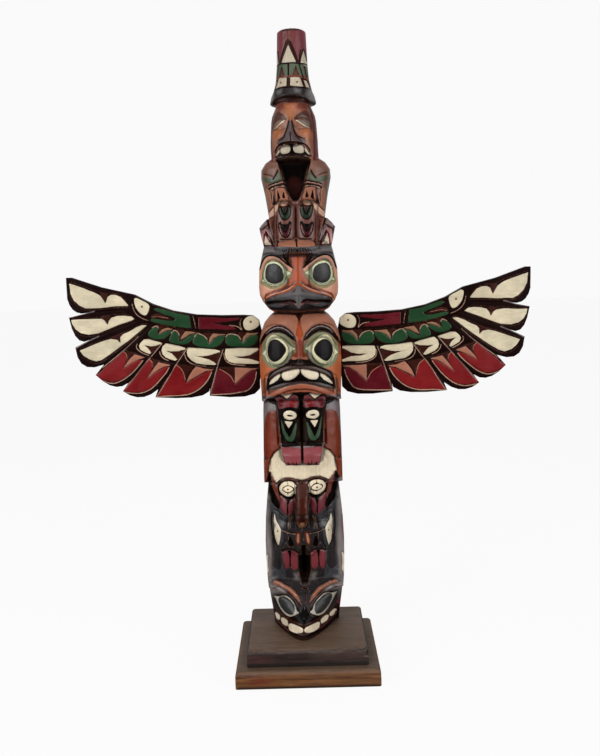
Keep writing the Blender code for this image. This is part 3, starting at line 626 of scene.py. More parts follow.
def carve_eagle(side, z, reach):
    centre, half, foot, rise = EAGLE_BROW
    crown = EAGLE_HEAD_REACH - FACE_CURVE / 2 * side ** 2
    reach = stand_out(reach, crown, (z > foot) & (z < TOE_2) & (side < EAGLE_HEAD_HALF))
    low, edge, target = EAGLE_FACE
    face = between(z, low, foot + rise * arch(side, centre, half)) * within(side, edge, 1.0)
    reach = lay(reach, target - FACE_CURVE / 2 * side ** 2, face)
    reach = reach + dome(side, z, EAGLE_EYE) + dome(side, z, EAGLE_CHEEK)
    reach = np.maximum(reach, EAGLE_HEAD_REACH / 2 + dome(side, z, EAGLE_BREAST))
    seam = np.exp(-((side - column(z, EAGLE_SEAM, 1)) / SEAM_WIDTH) ** 2)
    reach = reach - SEAM_DEEP * between(z, EAGLE_SEAM[0][0], EAGLE_SEAM[-1][0], 3.0) * seam
    half = column(z, EAGLE_BEAK, 1)
    beak = column(z, EAGLE_BEAK, 2) - EAGLE_BEAK_FALL * np.clip(side / half, 0.0, 1.0) ** 3
    reach = stand_out(reach, beak, (z > BEAK_3_UNDER) & (z < EAGLE_BEAK[-1][0]) & (side < half))
    in_slot = between(z, SLOT[0][0], SLOT[-1][0], 3.0) * within(side, column(z, SLOT, 1), SLOT_SOFT)
    reach = lay(reach, SLOT_REACH, in_slot)
    centre, half, low, high, bed, crest = TALON
    talon = bed + (crest - bed) * arch(side, centre, half)
    reach = stand_out(reach, talon, (z > low) & (z < high) & (np.abs(side - centre) < half))
    return reach + dome(side, z, EAGLE_THIGH)


print("the pale-headed bird: from", SLOT[0][0], "to", TOE_2, "mm")

# %% The long-snouted head
# Snout: height, reach of its tip, and two powers that set how round its plan is
SNOUT = (
    (POLE_FOOT, 27.6, 1.6, 1.0), (40.0, 27.8, 1.6, 1.0), (47.0, 27.6, 1.6, 1.0), (51.0, 25.4, 1.65, 0.92),
    (56.0, 21.5, 1.75, 0.8), (62.0, 17.0, 1.9, 0.68), (70.0, 12.8, 2.1, 0.55), (SNOUT_TOP, 11.0, 2.4, 0.42),
)
SNOUT_BLEND = 8.0
# Upper lip: height, slope to the side, height of the band below it, half width, depth
SNOUT_LIP = (45.6, 0.035, 7.0, 29.0, 1.2)
# Brow: height at its outer end, drop, outer end, span, thickness, how far it stands out
SNOUT_BROW = (77.5, 16.5, 31.0, 25.0, 2.6, 1.5)
SNOUT_BROW_POWER = 1.2
SNOUT_BROW_FADE = 3.0
# Eye: centre, height, slope, half width, half height, how far it stands out
SNOUT_EYE = (17.5, 53.4, 0.38, 10.5, 5.8, 1.3)


def carve_whale(side, z, reach):
    half, mid = outline_at(z)[:2]
    tip = column(z, SNOUT, 1)
    plan = np.clip(1.0 - (side / half) ** column(z, SNOUT, 2), 0.0, 1.0) ** column(z, SNOUT, 3)
    reach = lay(reach, mid + (tip - mid) * plan, 1.0 - ease(z, SNOUT_TOP - SNOUT_BLEND, SNOUT_TOP))
    foot, slope, height, half, deep = SNOUT_LIP
    lip = foot + slope * side
    reach = reach - deep * between(z, lip - height, lip, 0.8) * (side < half)
    top, drop, outer, span, thick, rise = SNOUT_BROW
    brow = top - drop * (np.clip(outer - side, 0.0, outer) / span) ** SNOUT_BROW_POWER
    on_brow = np.exp(-((z - brow) / thick) ** 2) * (side > outer - span)
    reach = reach + rise * on_brow * (1.0 - ease(side, outer - SNOUT_BROW_FADE, outer))
    centre, height, slope, half_width, half_height, rise = SNOUT_EYE
    return reach + dome(side, z - slope * side, (centre, height, half_width, half_height, rise))


print("the snout: up to", SNOUT_TOP, "mm")

# %% Carve the billet
# By height: degrees that the figures are turned, how far their right half is higher, how far the pole leans
TURN = (
    (32, 5.8), (42, 5.6), (55, 4.0), (66, 1.6), (100, 1.4), (120, 2.4), (138, 3.8), (155, 2.7), (175, 2.1),
    (190, 0.9), (380, 0.5), (390, 2.2), (456, 2.4), (459, 6.4), (469, 6.6), (473, 8.6), (480, 9), (495, 7.8),
    (507, 8), (515, 13.5), (566, 13.5),
)
TILT = (
    (32, 0.05), (45, 0.05), (52, 0.03), (66, 0.06), (82, 0), (145, 0.01), (165, 0.06), (174, 0.06), (184, 0),
)
TILT_SPAN = 32.0
LEAN = ((440, 0.0), (458, -0.3), (470, -0.8), (566, -1.0))
# Each figure's carving, with the lowest and the highest place it works on
CARVINGS = (
    (POLE_FOOT - 1.0, SNOUT_TOP, carve_whale),
    (75.0, TOE_2, carve_eagle),
    (PANEL_END - 1.0, CHIN_2 + BIRD_CHIN_RISE, carve_bird_body),
    (CHIN_2 - 1.0, 322.0, carve_bird_head),
    (BEAK_1_UNDER - 0.2, EAR_TOP + 1.0, carve_hawk),
    (TOE_1 - 0.2, 494.0, carve_man),
    (BRIM_UNDER, BRIM_UNDER + BRIM_ARCH[1], carve_brim),
)
SIDE_FADE = (90.0, 80.0)
HAND_ERROR = 0.45
HAND_WAVE = 9.0
CENTRE_TRUE = 5.0

half, mid, front, back, front_power, back_power = outline_at(z)
quarter = math.pi / 2
at_front = np.abs(turn) <= quarter + 1e-6
figure_turn = turn + np.radians(column(z, TURN, 1))
beyond = np.abs(figure_turn) - quarter
signed = np.where(beyond > 0, np.sign(figure_turn) * half * (1.0 + beyond), half * np.sin(figure_turn))
folded = half * np.sin(np.minimum(np.abs(figure_turn), math.pi - np.abs(figure_turn)))
signed = np.where(z > BRIM_UNDER, np.sign(figure_turn) * folded, signed)
error = HAND_ERROR * ease(np.abs(signed), 0.0, CENTRE_TRUE)
side = np.abs(signed) + error * unevenness(signed / HAND_WAVE, z / HAND_WAVE, 3)
height = z + error * unevenness(signed / HAND_WAVE, z / HAND_WAVE, 4)
height = height - column(z, TILT, 1) * np.clip(signed, -TILT_SPAN, TILT_SPAN)

cosine = np.abs(np.cos(turn))
plain = mid + (front - mid) * cosine ** (2.0 / front_power)
carved = plain.copy()
for low, high, carving in CARVINGS:
    there = at_front & (z >= low) & (z <= high)
    carved[there] = carving(side[there], height[there], carved[there])
fade = ease(np.degrees(np.abs(turn)), *SIDE_FADE)
reach = np.where(at_front, plain + (carved - plain) * fade, mid + (back - mid) * cosine ** (2.0 / back_power))
across = half * np.sign(np.sin(turn)) * np.abs(np.sin(turn)) ** np.where(at_front, 1.0, 2.0 / back_power)
across = across + column(z, LEAN, 1)
print("carved: reach from", round(float(reach.min()), 1), "to", round(float(reach.max()), 1), "mm")

# %% [markdown]
# ## Painting by distance
# The paint could be a colour on each corner, but then its edges would be as coarse as the mesh. Instead
# each colour keeps a number at every corner: how far that corner is from the edge of the colour, in
# millimetres and negative inside. The material turns the number into a mask, so an edge stays as sharp as a
# brush line. A shape painted later hides the colours that lie above it, and the same distances cut the
# knife lines into the wood.

# %% Distances
def segment_distance(x, y, a, b):
    dx, dy = b[0] - a[0], b[1] - a[1]
    t = np.clip(((x - a[0]) * dx + (y - a[1]) * dy) / max(dx * dx + dy * dy, 1e-9), 0.0, 1.0)
    return np.hypot(x - a[0] - t * dx, y - a[1] - t * dy)


def rounded(points, rounds=2):
    """Cut the corners of a closed outline twice, which leaves a soft curve."""
    points = np.array(points, float)
    for _ in range(rounds):
        following = np.roll(points, -1, axis=0)
        pair = (0.75 * points + 0.25 * following, 0.25 * points + 0.75 * following)
        points = np.stack(pair, axis=1).reshape(-1, 2)
    return points


def softened(points, rounds=2):
    """The same for an open line, which keeps its two ends."""
    points = np.array(points, float)
    for _ in range(rounds):
        pair = (0.75 * points[:-1] + 0.25 * points[1:], 0.25 * points[:-1] + 0.75 * points[1:])
        points = np.vstack((points[:1], np.stack(pair, axis=1).reshape(-1, 2), points[-1:]))
    return points


def patch_distance(x, y, points):
    nearest = np.full(x.shape, 1e9)
    inside = np.zeros(x.shape, bool)
    for a, b in zip(points, np.roll(points, -1, axis=0)):
        nearest = np.minimum(nearest, segment_distance(x, y, a, b))
        if a[1] != b[1]:
            crossing = a[0] + (y - a[1]) * (b[0] - a[0]) / (b[1] - a[1])
            inside ^= ((a[1] > y) != (b[1] > y)) & (x < crossing)
    return np.where(inside, -nearest, nearest)


def line_distance(x, y, points, width):
    nearest = np.full(x.shape, 1e9)
    for a, b in zip(points[:-1], points[1:]):
        nearest = np.minimum(nearest, segment_distance(x, y, a, b))
    return nearest - width / 2


def oval_distance(x, y, centre, radii, tilt):
    c, s = math.cos(math.radians(tilt)), math.sin(math.radians(tilt))
    u = (x - centre[0]) * c + (y - centre[1]) * s
    v = (y - centre[1]) * c - (x - centre[0]) * s
    return (np.hypot(u / radii[0], v / radii[1]) - 1.0) * min(radii)


print("distances ready")


# %% The kinds of shape
# Each shape is kept as its paint, its kind, its points, the width of a line and how far a patch is raised.
AROUND = 99.0


def band(paint, low, high, inner=0.0):
    """A band right round the pole, from one height to another and from an inner distance outwards."""
    return paint, "band", (low, high, inner, AROUND), 0.0, 0.0


def patch(paint, *points, rise=0.0):
    return paint, "patch", points, 0.0, rise


def curved(paint, *points, rise=0.0):
    """A patch whose corners are rounded off."""
    return paint, "curved", points, 0.0, rise


def line(paint, width, *points):
    return paint, "line", points, width, 0.0


def loop(paint, width, *points):
    """A line that closes on itself."""
    return paint, "loop", points, width, 0.0


def oval(paint, centre, radii, tilt=0.0, rise=0.0):
    return paint, "oval", (centre, radii, tilt), 0.0, rise


def row(kind, start, *outlines):
    """Shapes of one kind and paint that repeat side by side."""
    return [kind(*start, *points) for points in outlines]


def shape_distance(x, y, kind, points, width):
    if kind == "band":
        low, high, inner, outer = points
        return np.maximum(np.maximum(low - y, y - high), np.maximum(inner - x, x - outer))
    if kind == "patch":
        return patch_distance(x, y, np.array(points, float))
    if kind == "curved":
        return patch_distance(x, y, rounded(points))
    if kind == "line":
        return line_distance(x, y, softened(points), width)
    if kind == "loop":
        return np.abs(patch_distance(x, y, rounded(points))) - width / 2
    return oval_distance(x, y, *points)


print("kinds of shape: band, patch, curved, line, loop, oval")

# %% Layers of paint
# The order in which the colours lie on each other, with the colour of each
# Some of these colours are painted sheen, highlight and shade; each such use is marked where it is painted.
PAINTS = {
    "cream": "#d1c4a7", "linen": "#b4a792", "chalk": "#a79f92", "black": "#070303", "green": "#193d20",
    "fern": "#48533e", "pine": "#182817", "laurel": "#2e452e", "brown": "#4a2112", "bark": "#3e150a",
    "russet": "#804f3c", "rust": "#6d3020", "umber": "#47281d", "maroon": "#702b32", "port": "#3c0f14",
    "plum": "#6f3137", "wine": "#580b17", "grey": "#584a4b", "lid": "#68594c", "sleeve": "#704c3e",
    "shin": "#673e36", "dark": "#280e09", "face": "#8e5d48", "ember": "#6a3426", "glow": "#a03e0a",
    "cedar": "#86350d", "pale_skin": "#d0a389", "skin": "#98624b", "rose": "#8b4146", "blush": "#c18a89",
    "salmon": "#c98f76", "flank": "#a56c56", "pupil": "#110e10", "amber": "#b05e35", "greyer": "#746869",
    "panel": "#722504", "line": "#70523a", "edge": "#b08c76", "red": "#760e12", "leaf": "#66774a",
    "moss": "#6e7150", "pale": "#cdc8a3", "celadon": "#ccd0ac", "lip": "#763f30", "mauve": "#816d6b",
    "smoke": "#3f2f2b", "pit": "#451a11", "tan": "#8c654a", "sage": "#434b38", "ash": "#4b4b4f",
    "bone": "#efdebf", "ivory": "#dfd0b6", "soot": "#39393c", "jet": "#262122", "slate": "#2a2a2a",
    "mist": "#6c6666", "gloom": "#2b0d08", "sepia": "#34110a", "ebony": "#160706", "copper": "#9a553b",
    "fog": "#7c7370", "tawny": "#a35f38",
}
ORDER = list(PAINTS)
# Thin glazes, some of them painted sheen and shade, whose edges fade out, with how far they fade in
# millimetres
GLAZES = {
    "ember": 2.2, "glow": 2.4, "leaf": 0.9, "moss": 0.7, "mist": 2.4, "fog": 2.4, "tawny": 2.6, "gloom": 2.2,
}
# How far distances are kept, then the knife line round a patch, the groove of a dark line and the rim of a
# raised patch
FAR = 3.0
CUT_WIDTH = 0.45
CUT_DEEP = 0.22
LINE_DEEP = 0.5
LINE_WIDEST = 1.2
LINE_SLOPE = 0.35
RISE_RIM = (-0.1, 0.9)
DARK_LINES = ("black", "dark", "brown", "soot", "umber", "sepia")


def blank_layers(count):
    return {paint: np.full(count, FAR) for paint in ORDER}


def cover(layers, paint, distance, where):
    """Brush one colour over a shape, which hides the colours above it in the order. None is bare wood."""
    start = ORDER.index(paint) if paint else -1
    if paint:
        layers[paint][where] = np.minimum(layers[paint][where], distance)
    for above in ORDER[start + 1:]:
        layers[above][where] = np.maximum(layers[above][where], -distance)


def paint_shape(layers, relief, x, y, shape):
    """Paint one shape and cut its edge: a groove for a dark line, a fine knife line round a patch."""
    paint, kind, points, width, rise = shape
    if kind == "band":
        cover(layers, paint, shape_distance(x, y, kind, points, width), np.arange(len(x)))
        return
    flat = np.array(points[:1] if kind == "oval" else points, float)
    margin = FAR + (max(points[1]) if kind == "oval" else 0.0)
    low, high = flat.min(axis=0) - margin, flat.max(axis=0) + margin
    where = np.nonzero((x > low[0]) & (x < high[0]) & (y > low[1]) & (y < high[1]))[0]
    distance = shape_distance(x[where], y[where], kind, points, width)
    cover(layers, paint, distance, where)
    if kind in ("line", "loop"):
        deep = LINE_DEEP * min(width, LINE_WIDEST) if paint in DARK_LINES else 0.0
        relief[where] -= deep * np.clip(1.0 - (distance + width / 2) / (width / 2 + LINE_SLOPE), 0.0, 1.0)
    else:
        relief[where] -= CUT_DEEP * np.exp(-(distance / CUT_WIDTH) ** 2)
    relief[where] += rise * ease(-distance, *RISE_RIM)


print("paints:", len(ORDER))

# %% [markdown]
# ## The painted design of the pole
# The shapes are the stock of north-west coast painting: ovoids, split U shapes, lips, teeth and feathers.
# Each is drawn once, by its distance from the centre line and its height, and the mirror makes the other
# half. A patch has straight sides, a curved one has rounded corners, a line has a width and a band runs
# right round.

# %% Paint on the hat
HAT_PAINT = (
    band("plum", 536.5, 570),
    patch("ember", (0.6, 570), (4, 570), (3.4, 556), (1.4, 556)),
    band("fern", 526.2, 537),
    line("black", 1.5, (0, 526), (0, 537)),
    band("dark", 505.6, 525.6),
    band("rust", 525.2, 527.3),
    line("umber", 0.7, (0, 556), (0.1, 565.4)),
    patch("dark", (-0.6, 556.4), (1.8, 556.8), (5.2, 548.4), (9.2, 537.2), (-0.6, 537.2)),
    patch("linen", (0, 552.3), (6.6, 537.9), (-0.4, 537.9)),
    line("dark", 1, (9.5, 548.4), (8.9, 537.4)),
    patch("linen", (11.2, 549.6), (14.6, 535.3), (9.6, 537.2)),
    line("dark", 0.9, (9.3, 537.2), (11, 549.4)),
    line("dark", 0.7, (11.6, 549), (14.4, 537.1)),
    band("black", 536.6, 537.9),
    patch("dark", (3.4, 527.2), (6.1, 535.6), (9, 527.2)),
    patch("ember", (5, 527.2), (6.2, 531), (7.4, 527.2)),
    line("black", 1, (9, 536), (11.6, 525.8)),
    line("dark", 0.8, (12, 536), (13.4, 526.8)),
    patch("dark", (1.1, 526.2), (9.9, 526.2), (13.2, 516.8), (1.1, 517)),
    patch("dark", (10.9, 525.4), (14.2, 524.6), (17, 515.5), (12.8, 516.3)),
    patch("linen", (1.6, 525.8), (9.4, 525.8), (12.2, 517.8), (1.7, 518.6)),
    patch("linen", (11.7, 524), (13.6, 523.4), (16.2, 516.5), (13.7, 517.9)),
    oval("brown", (7.4, 521.7), (0.8, 0.8)),
    band("black", 516.4, 517.9),
    band("jet", 505.6, 516.6),
    # Painted sheen on the two ends of the brim.
    patch("mist", (16, 517), (22, 517), (23, 504), (17.5, 504), (14.5, 511)),
    patch("mist", (6, 515.6), (10, 515), (9.4, 512.4), (6.4, 513)),
    # Painted shadow: the underside of the brim and the forehead just under it are dark with shade.
    patch("dark", (-1, 509.8), (4, 509.7), (9, 508.9), (13, 507.6), (16.5, 505.4), (-1, 505.4)),
    patch("black", (-1, 508.2), (4, 508), (8, 506.8), (11, 505.4), (-1, 505.4)),
    band("dark", 503.8, 505.9),
)
print("the hat:", len(HAT_PAINT), "shapes")

# %% Paint on the man's face
MAN_FACE_PAINT = (
    band("face", 457.3, 505.7),
    # Painted shade: the face darkens under the brim and towards its sides.
    patch("ember", (-3, 506), (22, 506), (23, 455), (15.6, 455), (16.4, 470), (17, 484), (15, 494),
      (8, 499.4), (3, 500.4), (-3, 499.6)),
    patch("tawny", (-1, 504), (5, 503), (2.6, 496), (1.6, 491), (-1, 491)),
    curved("tawny", (7, 486), (11, 484.6), (15.6, 483), (16.6, 477), (14.6, 473.6), (9.4, 477.4)),
    patch("umber", (2.8, 491.7), (4.6, 493.9), (7, 495.8), (11.4, 499), (14.6, 498), (16.6, 494.4),
      (17.8, 490.8), (17.9, 484), (16, 486.1), (13.8, 489.7), (11.1, 490.9), (7.1, 490.9), (3.9, 490.4)),
    patch("brown", (2.8, 491.6), (6.4, 492.6), (11.2, 493), (14.4, 491.6), (16.4, 488.6), (17.9, 490),
      (18.1, 482), (16.8, 480.4), (15.6, 484.2), (13.8, 488.9), (11.1, 490.6), (7.1, 490.9), (3.9, 490.4)),
    patch("lid", (5.2, 490.9), (8.6, 491), (12.1, 490.4), (14.6, 488.2), (16, 484.9), (15.2, 484.2),
      (11.9, 485.9), (8.7, 488.1), (5, 490.1)),
    line("ivory", 0.7, (4.9, 490.4), (8, 488.3), (11.4, 486.1), (15.2, 484.4)),
    line("dark", 0.5, (4.6, 489.4), (7.8, 487.1), (11.1, 485), (15.6, 483.3)),
    curved("grey", (0.1, 490.8), (1.7, 488.7), (3.3, 483.8), (5.3, 478.9), (7.6, 476.3), (11.4, 474.8),
      (13.4, 472.4), (10.9, 470.9), (5.8, 470.9), (-0.4, 471), (-4.6, 482.5)),
    line("black", 1.3, (1.2, 489.9), (2.1, 485.6), (3.5, 481.1), (5.4, 477.6), (7.5, 476.1), (11.6, 475)),
    line("black", 0.9, (0.2, 479.6), (0.1, 472.6)),
    curved("lip", (-0.6, 470.3), (6.6, 470.8), (11.3, 470.2), (14.2, 467.3), (17, 460), (13.3, 463.3),
      (10.6, 467), (8, 469.7), (-0.8, 469.1)),
    line("black", 1.6, (-0.5, 471), (5.2, 471.2), (9.8, 471), (12.9, 469), (15, 465.4)),
    patch("black", (-2, 469.9), (8, 470.3), (11.4, 467.9), (14.6, 464.1), (16.3, 460.2), (12.5, 461),
      (8.5, 461.6), (-2.4, 461.6)),
    curved("linen", (1, 469.4), (3.1, 469.9), (7.9, 470), (10.1, 467.9), (10.3, 464.8), (8.8, 462.8),
      (3.9, 462.8), (1.3, 464.5), rise=0.7),
    patch("linen", (10.7, 467.6), (12.2, 466.4), (15.2, 461.9), (13.7, 462.2), (10.8, 464.6), rise=0.5),
    patch("black", (-2.4, 461.8), (8.5, 461.5), (13.3, 460.3), (16.1, 457.3), (-2.8, 457.6)),
    line("umber", 0.8, (-1.1, 460.4), (6, 460.6), (10.9, 460.6), (14.6, 459.8)),
    patch("wine", (15.1, 500.5), (17.1, 494.2), (18.1, 486.9), (18.4, 474.8), (17.9, 457.1), (21.4, 457.4),
      (22.2, 484.6), (18.1, 499.6), (16.2, 505.6)),
    line("black", 1.1, (13.9, 503.4), (16.4, 497.8), (17.9, 490.1), (18.3, 476), (17.8, 458)),
)
print("the man's face:", len(MAN_FACE_PAINT), "shapes")

# %% Paint on the man's arms
MAN_ARMS_PAINT = (
    band("sleeve", 409, 457.5),
    band("dark", 378.6, 410),
    band("mauve", 384.6, 408, 34),
    patch("black", (-2, 457.7), (14.8, 457.7), (10.7, 445.3), (7.4, 436.2), (4, 428.7), (1.5, 424.8),
      (-2, 424)),
    curved("gloom", (-2, 446), (5, 443.5), (7.2, 436.5), (3.6, 428.7), (1.1, 424.8), (-2, 424)),
    line("rust", 1, (11.4, 451), (9.6, 445.3), (7.4, 438.6)),
    curved("sage", (10.9, 444.7), (11.9, 448.4), (14.6, 449.2), (16.6, 445.2), (18.2, 443.4), (22.8, 444.4),
      (28.2, 446), (26.9, 442.7), (23.1, 439.6), (18, 439.5), (10.7, 440.8)),
    line("black", 1.4, (13.9, 449.8), (15.7, 445.7), (18.3, 442.7)),
    line("umber", 1.1, (18.3, 444.4), (22.4, 446.6), (27.2, 448)),
    line("black", 1.3, (8.9, 441.4), (14.3, 439.9), (18.9, 439), (22.8, 438)),
    line("skin", 0.9, (8.9, 440), (14.3, 438.7), (18.9, 438), (22.6, 436.9)),
    line("black", 1.7, (7.9, 438), (11.4, 438), (16.1, 437.3), (20, 436.4), (22.5, 434.6)),
    line("pale_skin", 0.7, (8.2, 436.2), (11.4, 436.3), (16.1, 435.8), (20.6, 434.4)),
    line("lid", 2.4, (30.9, 450), (28, 442), (26.6, 431.5), (25, 415)),
    curved("skin", (7.4, 434.5), (11, 434.4), (15.1, 434.6), (19.4, 433.5), (20.9, 429.4), (21, 421.1),
      (17.2, 420.7), (11.5, 424.8), (6.5, 424.6), (2.8, 425.6), (5, 430.3)),
    *row(patch, ("black",),
         ((9.7, 433), (11.4, 426.4), (8.1, 426)),
         ((14.9, 433.4), (15.9, 424.4), (12.5, 426)),
         ((19.2, 430.4), (20, 421.2), (16.9, 422.7)),
         ((6.4, 429.4), (5.8, 425), (4.2, 425))),
    line("black", 0.8, (4, 430.6), (7, 434.9), (14.1, 435.2), (20, 433)),
    line("black", 0.9, (20.9, 430), (21.3, 425), (20.4, 421.6)),
    curved("skin", (21.8, 432.8), (24.9, 436.3), (26.2, 433.2), (25.3, 424.8), (23.9, 414.7), (20.3, 419.4),
      (21.3, 426.1)),
    # Painted grey sheen down the outer edge of the arm.
    patch("greyer", (29.7, 452.6), (28, 440.1), (26.4, 429.2), (24.7, 419.8), (23.7, 413), (25.5, 409.8),
      (27.3, 425.3), (30.5, 450.8)),
    line("black", 1.2, (14.4, 423.9), (18.4, 421), (23.4, 415.7)),
    curved("pale_skin", (12.9, 425.1), (16.2, 422.9), (20.1, 419.1), (24.5, 414.5), (24.2, 410),
      (19.3, 413.1), (15.9, 416.7), (13.7, 420.6)),
)
print("the man's arms:", len(MAN_ARMS_PAINT), "shapes")

# %% Paint on the man's legs
MAN_LEGS_PAINT = (
    line("black", 1.2, (0.9, 423.2), (0, 416), (0.3, 399.3), (-0.4, 382.2)),
    curved("shin", (0.5, 423.6), (4, 423.9), (9.8, 424.5), (14.1, 423.2), (15.9, 417.9), (16.3, 407.1),
      (15.3, 383.8), (-4.2, 384.3), (-2.9, 423.7)),
    curved("black", (3.5, 421.4), (3.5, 414.1), (4.9, 409.3), (9.2, 406.3), (13.1, 408.7), (15, 414.5),
      (15.3, 421.2), (13, 419.6), (8.8, 419.1)),
    curved("pine", (4.5, 419.5), (4.5, 414), (6.1, 409.7), (9.2, 407.7), (12.1, 409.9), (13.8, 414.5),
      (14.1, 419.2), (11.3, 417.9), (7.1, 418)),
    line("black", 1.5, (5.8, 420.3), (7.6, 414.4), (9.2, 411.3), (10.8, 414.2), (12.8, 419.8)),
    patch("dark", (7.4, 419), (11.2, 418.7), (9.3, 413.6)),
    curved("pale_skin", (6, 424), (9, 424.4), (12.2, 423.6), (13.1, 421.3), (11.2, 419.3), (9, 420.1),
      (6.6, 421.2)),
    curved("black", (3.3, 407.1), (3.6, 399.9), (4.9, 394.3), (8.7, 391.8), (12.6, 394.2), (15.2, 399.6),
      (15.2, 406.4), (12.5, 404.9), (9.2, 403.5), (6.2, 404.8)),
    curved("port", (4.5, 404.4), (4.9, 399.3), (6.4, 394.7), (8.9, 393.2), (11.7, 395.1), (13.7, 399.6),
      (14.2, 404.6), (11.5, 401.3), (9.1, 399.3), (6.7, 401.4)),
    line("black", 1.3, (5.4, 405.7), (7.5, 399.9), (9.1, 396.8), (11.1, 400), (13, 405.4)),
    line("plum", 0.7, (13.9, 403.6), (13.2, 398.7), (11, 395)),
    line("plum", 0.7, (4.6, 403.6), (5.2, 398.7), (7, 395)),
    line("dark", 1.1, (1.6, 391.9), (7.5, 391.2), (13.4, 391.4)),
    curved("skin", (0.3, 390.8), (13.4, 390.6), (15.9, 387.8), (15.1, 383.2), (10.8, 382.8), (-0.5, 383.3)),
    patch("rust", (16.6, 412.9), (19.1, 412.6), (24.5, 409.4), (26.1, 408.7), (22.6, 403), (20.2, 394.4),
      (16.9, 384.6), (15.7, 384.3)),
    patch("ember", (19.6, 411), (24.6, 409), (22, 401.3), (19.8, 392.1), (19, 393.8)),
    line("dark", 1.3, (25.6, 409), (22.7, 401), (20.4, 393), (17.6, 385.6)),
    line("dark", 0.9, (16.9, 411.6), (16.6, 400), (16.3, 386)),
    line("black", 1.2, (0.3, 391.4), (0, 386), (0, 381.6)),
)
print("the man's legs:", len(MAN_LEGS_PAINT), "shapes")

# %% Paint on the ears
EARS_PAINT = (
    patch("mauve", (25.2, 409.6), (29.4, 406.1), (34.4, 401.2), (32.4, 392.6), (29.8, 383.7), (21.4, 384.5),
      (17.1, 383.8), (20.9, 394.4), (23.7, 402.4)),
    line("umber", 0.9, (25, 404.6), (29.8, 401.6), (32.6, 399)),
    patch("blush", (26.4, 402.2), (30.8, 399.8), (30.6, 385.1), (18.8, 385.6), (21.1, 391), (24, 397.9)),
    patch("wine", (26.8, 399.2), (28.9, 395.6), (29.3, 386), (18.9, 386), (20.6, 389.4), (24.2, 393)),
    line("dark", 1.2, (26.4, 399), (23.6, 394), (20.4, 389.6)),
    patch("ivory", (27.1, 396.4), (28, 391), (27.9, 387), (20.9, 387.2), (24.1, 390.3)),
    patch("linen", (24.1, 390.3), (27, 388.6), (27.9, 387), (20.9, 387.2)),
    line("dark", 0.9, (12.2, 383.2), (17.7, 384.1), (24.9, 385.3), (30.4, 384.7)),
    line("black", 0.7, (31.4, 399.4), (31.4, 392), (30.6, 384.6)),
)
print("the ears:", len(EARS_PAINT), "shapes")

# %% Paint on the hooked-beak head: brow and eye
HAWK_EYE_PAINT = (
    band("salmon", 329, 379),
    patch("cedar", (-2, 379), (7.4, 379), (5.6, 371), (4.4, 366.2), (6.9, 361.6), (9.5, 356.7),
      (15.3, 350.6), (22.2, 348.1), (29.3, 345.7), (31, 338), (32, 329), (-2, 329)),
    patch("glow", (-2, 379), (6.4, 379), (4.6, 371), (3.4, 366.2), (5.2, 361), (7.6, 355.6), (12, 352.2),
      (7, 350), (-2, 350)),
    patch("ash", (-1, 384.6), (7.7, 384.8), (31.2, 386.4), (36.4, 366.5), (34.6, 364.5), (34.2, 366.3),
      (31.6, 372.9), (28.9, 376.3), (25.4, 378.2), (21, 378.6), (15.8, 376.6), (10.5, 373.2), (9, 377.6),
      (-1, 377.4)),
    # Painted sheen on the outer brow.
    patch("mist", (14.6, 383.4), (28.2, 384), (32, 377), (29, 378.6), (25, 380.2), (20, 380.2), (15, 379.6)),
    line("black", 1.5, (4.7, 367.5), (9.6, 371), (15.8, 376), (21, 378.3), (25.4, 378.2), (28.9, 376.3),
      (31.9, 372.1), (33.7, 367.2)),
    patch("slate", (-1, 383.6), (5.4, 384.2), (12.8, 382.2), (12.6, 377), (5.3, 377.6), (-1, 376.8)),
    patch("black", (4.2, 366.9), (5, 371.8), (7.2, 377.4), (13.6, 376.4), (10.4, 373.2)),
    line("cedar", 0.5, (5.8, 370), (7.6, 373.4), (10.6, 376.4)),
    patch("black", (-1, 383), (1.4, 382.7), (0.6, 376.6), (-1, 376.6)),
    line("black", 1, (2.6, 383), (3, 377)),
    line("black", 1.1, (4.6, 383.2), (5.6, 377)),
    line("black", 1.2, (6.6, 383.2), (8.2, 376.6)),
    line("black", 1.1, (8.8, 382.8), (10.4, 377)),
    line("black", 1.1, (10.8, 382), (12.6, 377)),
    # Painted grey highlights between the black cuts of the brow.
    *row(line, ("greyer", 0.4),
         ((3.6, 383.4), (4.4, 379.6)),
         ((7.6, 383.2), (9, 379.2)),
         ((9.8, 382.6), (11.2, 379))),
    curved("leaf", (5.4, 363.9), (9.6, 367.3), (14, 371.3), (18.4, 374.4), (24.5, 375), (28.6, 371.3),
      (30.7, 365.5), (31.8, 358.5), (34, 355.4), (30.3, 352.6), (26.6, 350.2), (22.2, 349), (16.2, 350.1),
      (11, 353.8), (7.7, 358.7), (6.1, 361.6)),
    line("green", 0.8, (8.4, 365.4), (12.6, 368.6), (16.4, 372.4), (21, 374), (25.6, 373.2), (28.6, 369.8),
      (29.9, 364.8)),
    line("green", 0.5, (31.2, 356), (28.6, 353.8), (25.9, 351.6), (22.2, 350.6), (17.2, 351.4),
      (12.4, 355.1)),
    patch("celadon", (5.4, 363.1), (9.5, 364.9), (12.2, 367.4), (15.3, 370.4), (18.8, 372.3), (22.7, 372.9),
      (26.5, 371.5), (28.8, 368.2), (29.7, 363), (30.1, 359), (32.1, 356.3), (28.9, 355.9), (26.6, 353.3),
      (23.2, 351.8), (18, 352.2), (13.3, 355.2), (10.8, 359.2), (8.9, 361.3)),
    curved("slate", (12.3, 360.4), (13, 366), (16.7, 370), (22, 371.7), (27.1, 370), (28.7, 363),
      (27.7, 356.7), (22.8, 353.7), (17, 354.4), (13.2, 357)),
)
print("the hooked-beak head, brow and eye:", len(HAWK_EYE_PAINT), "shapes")

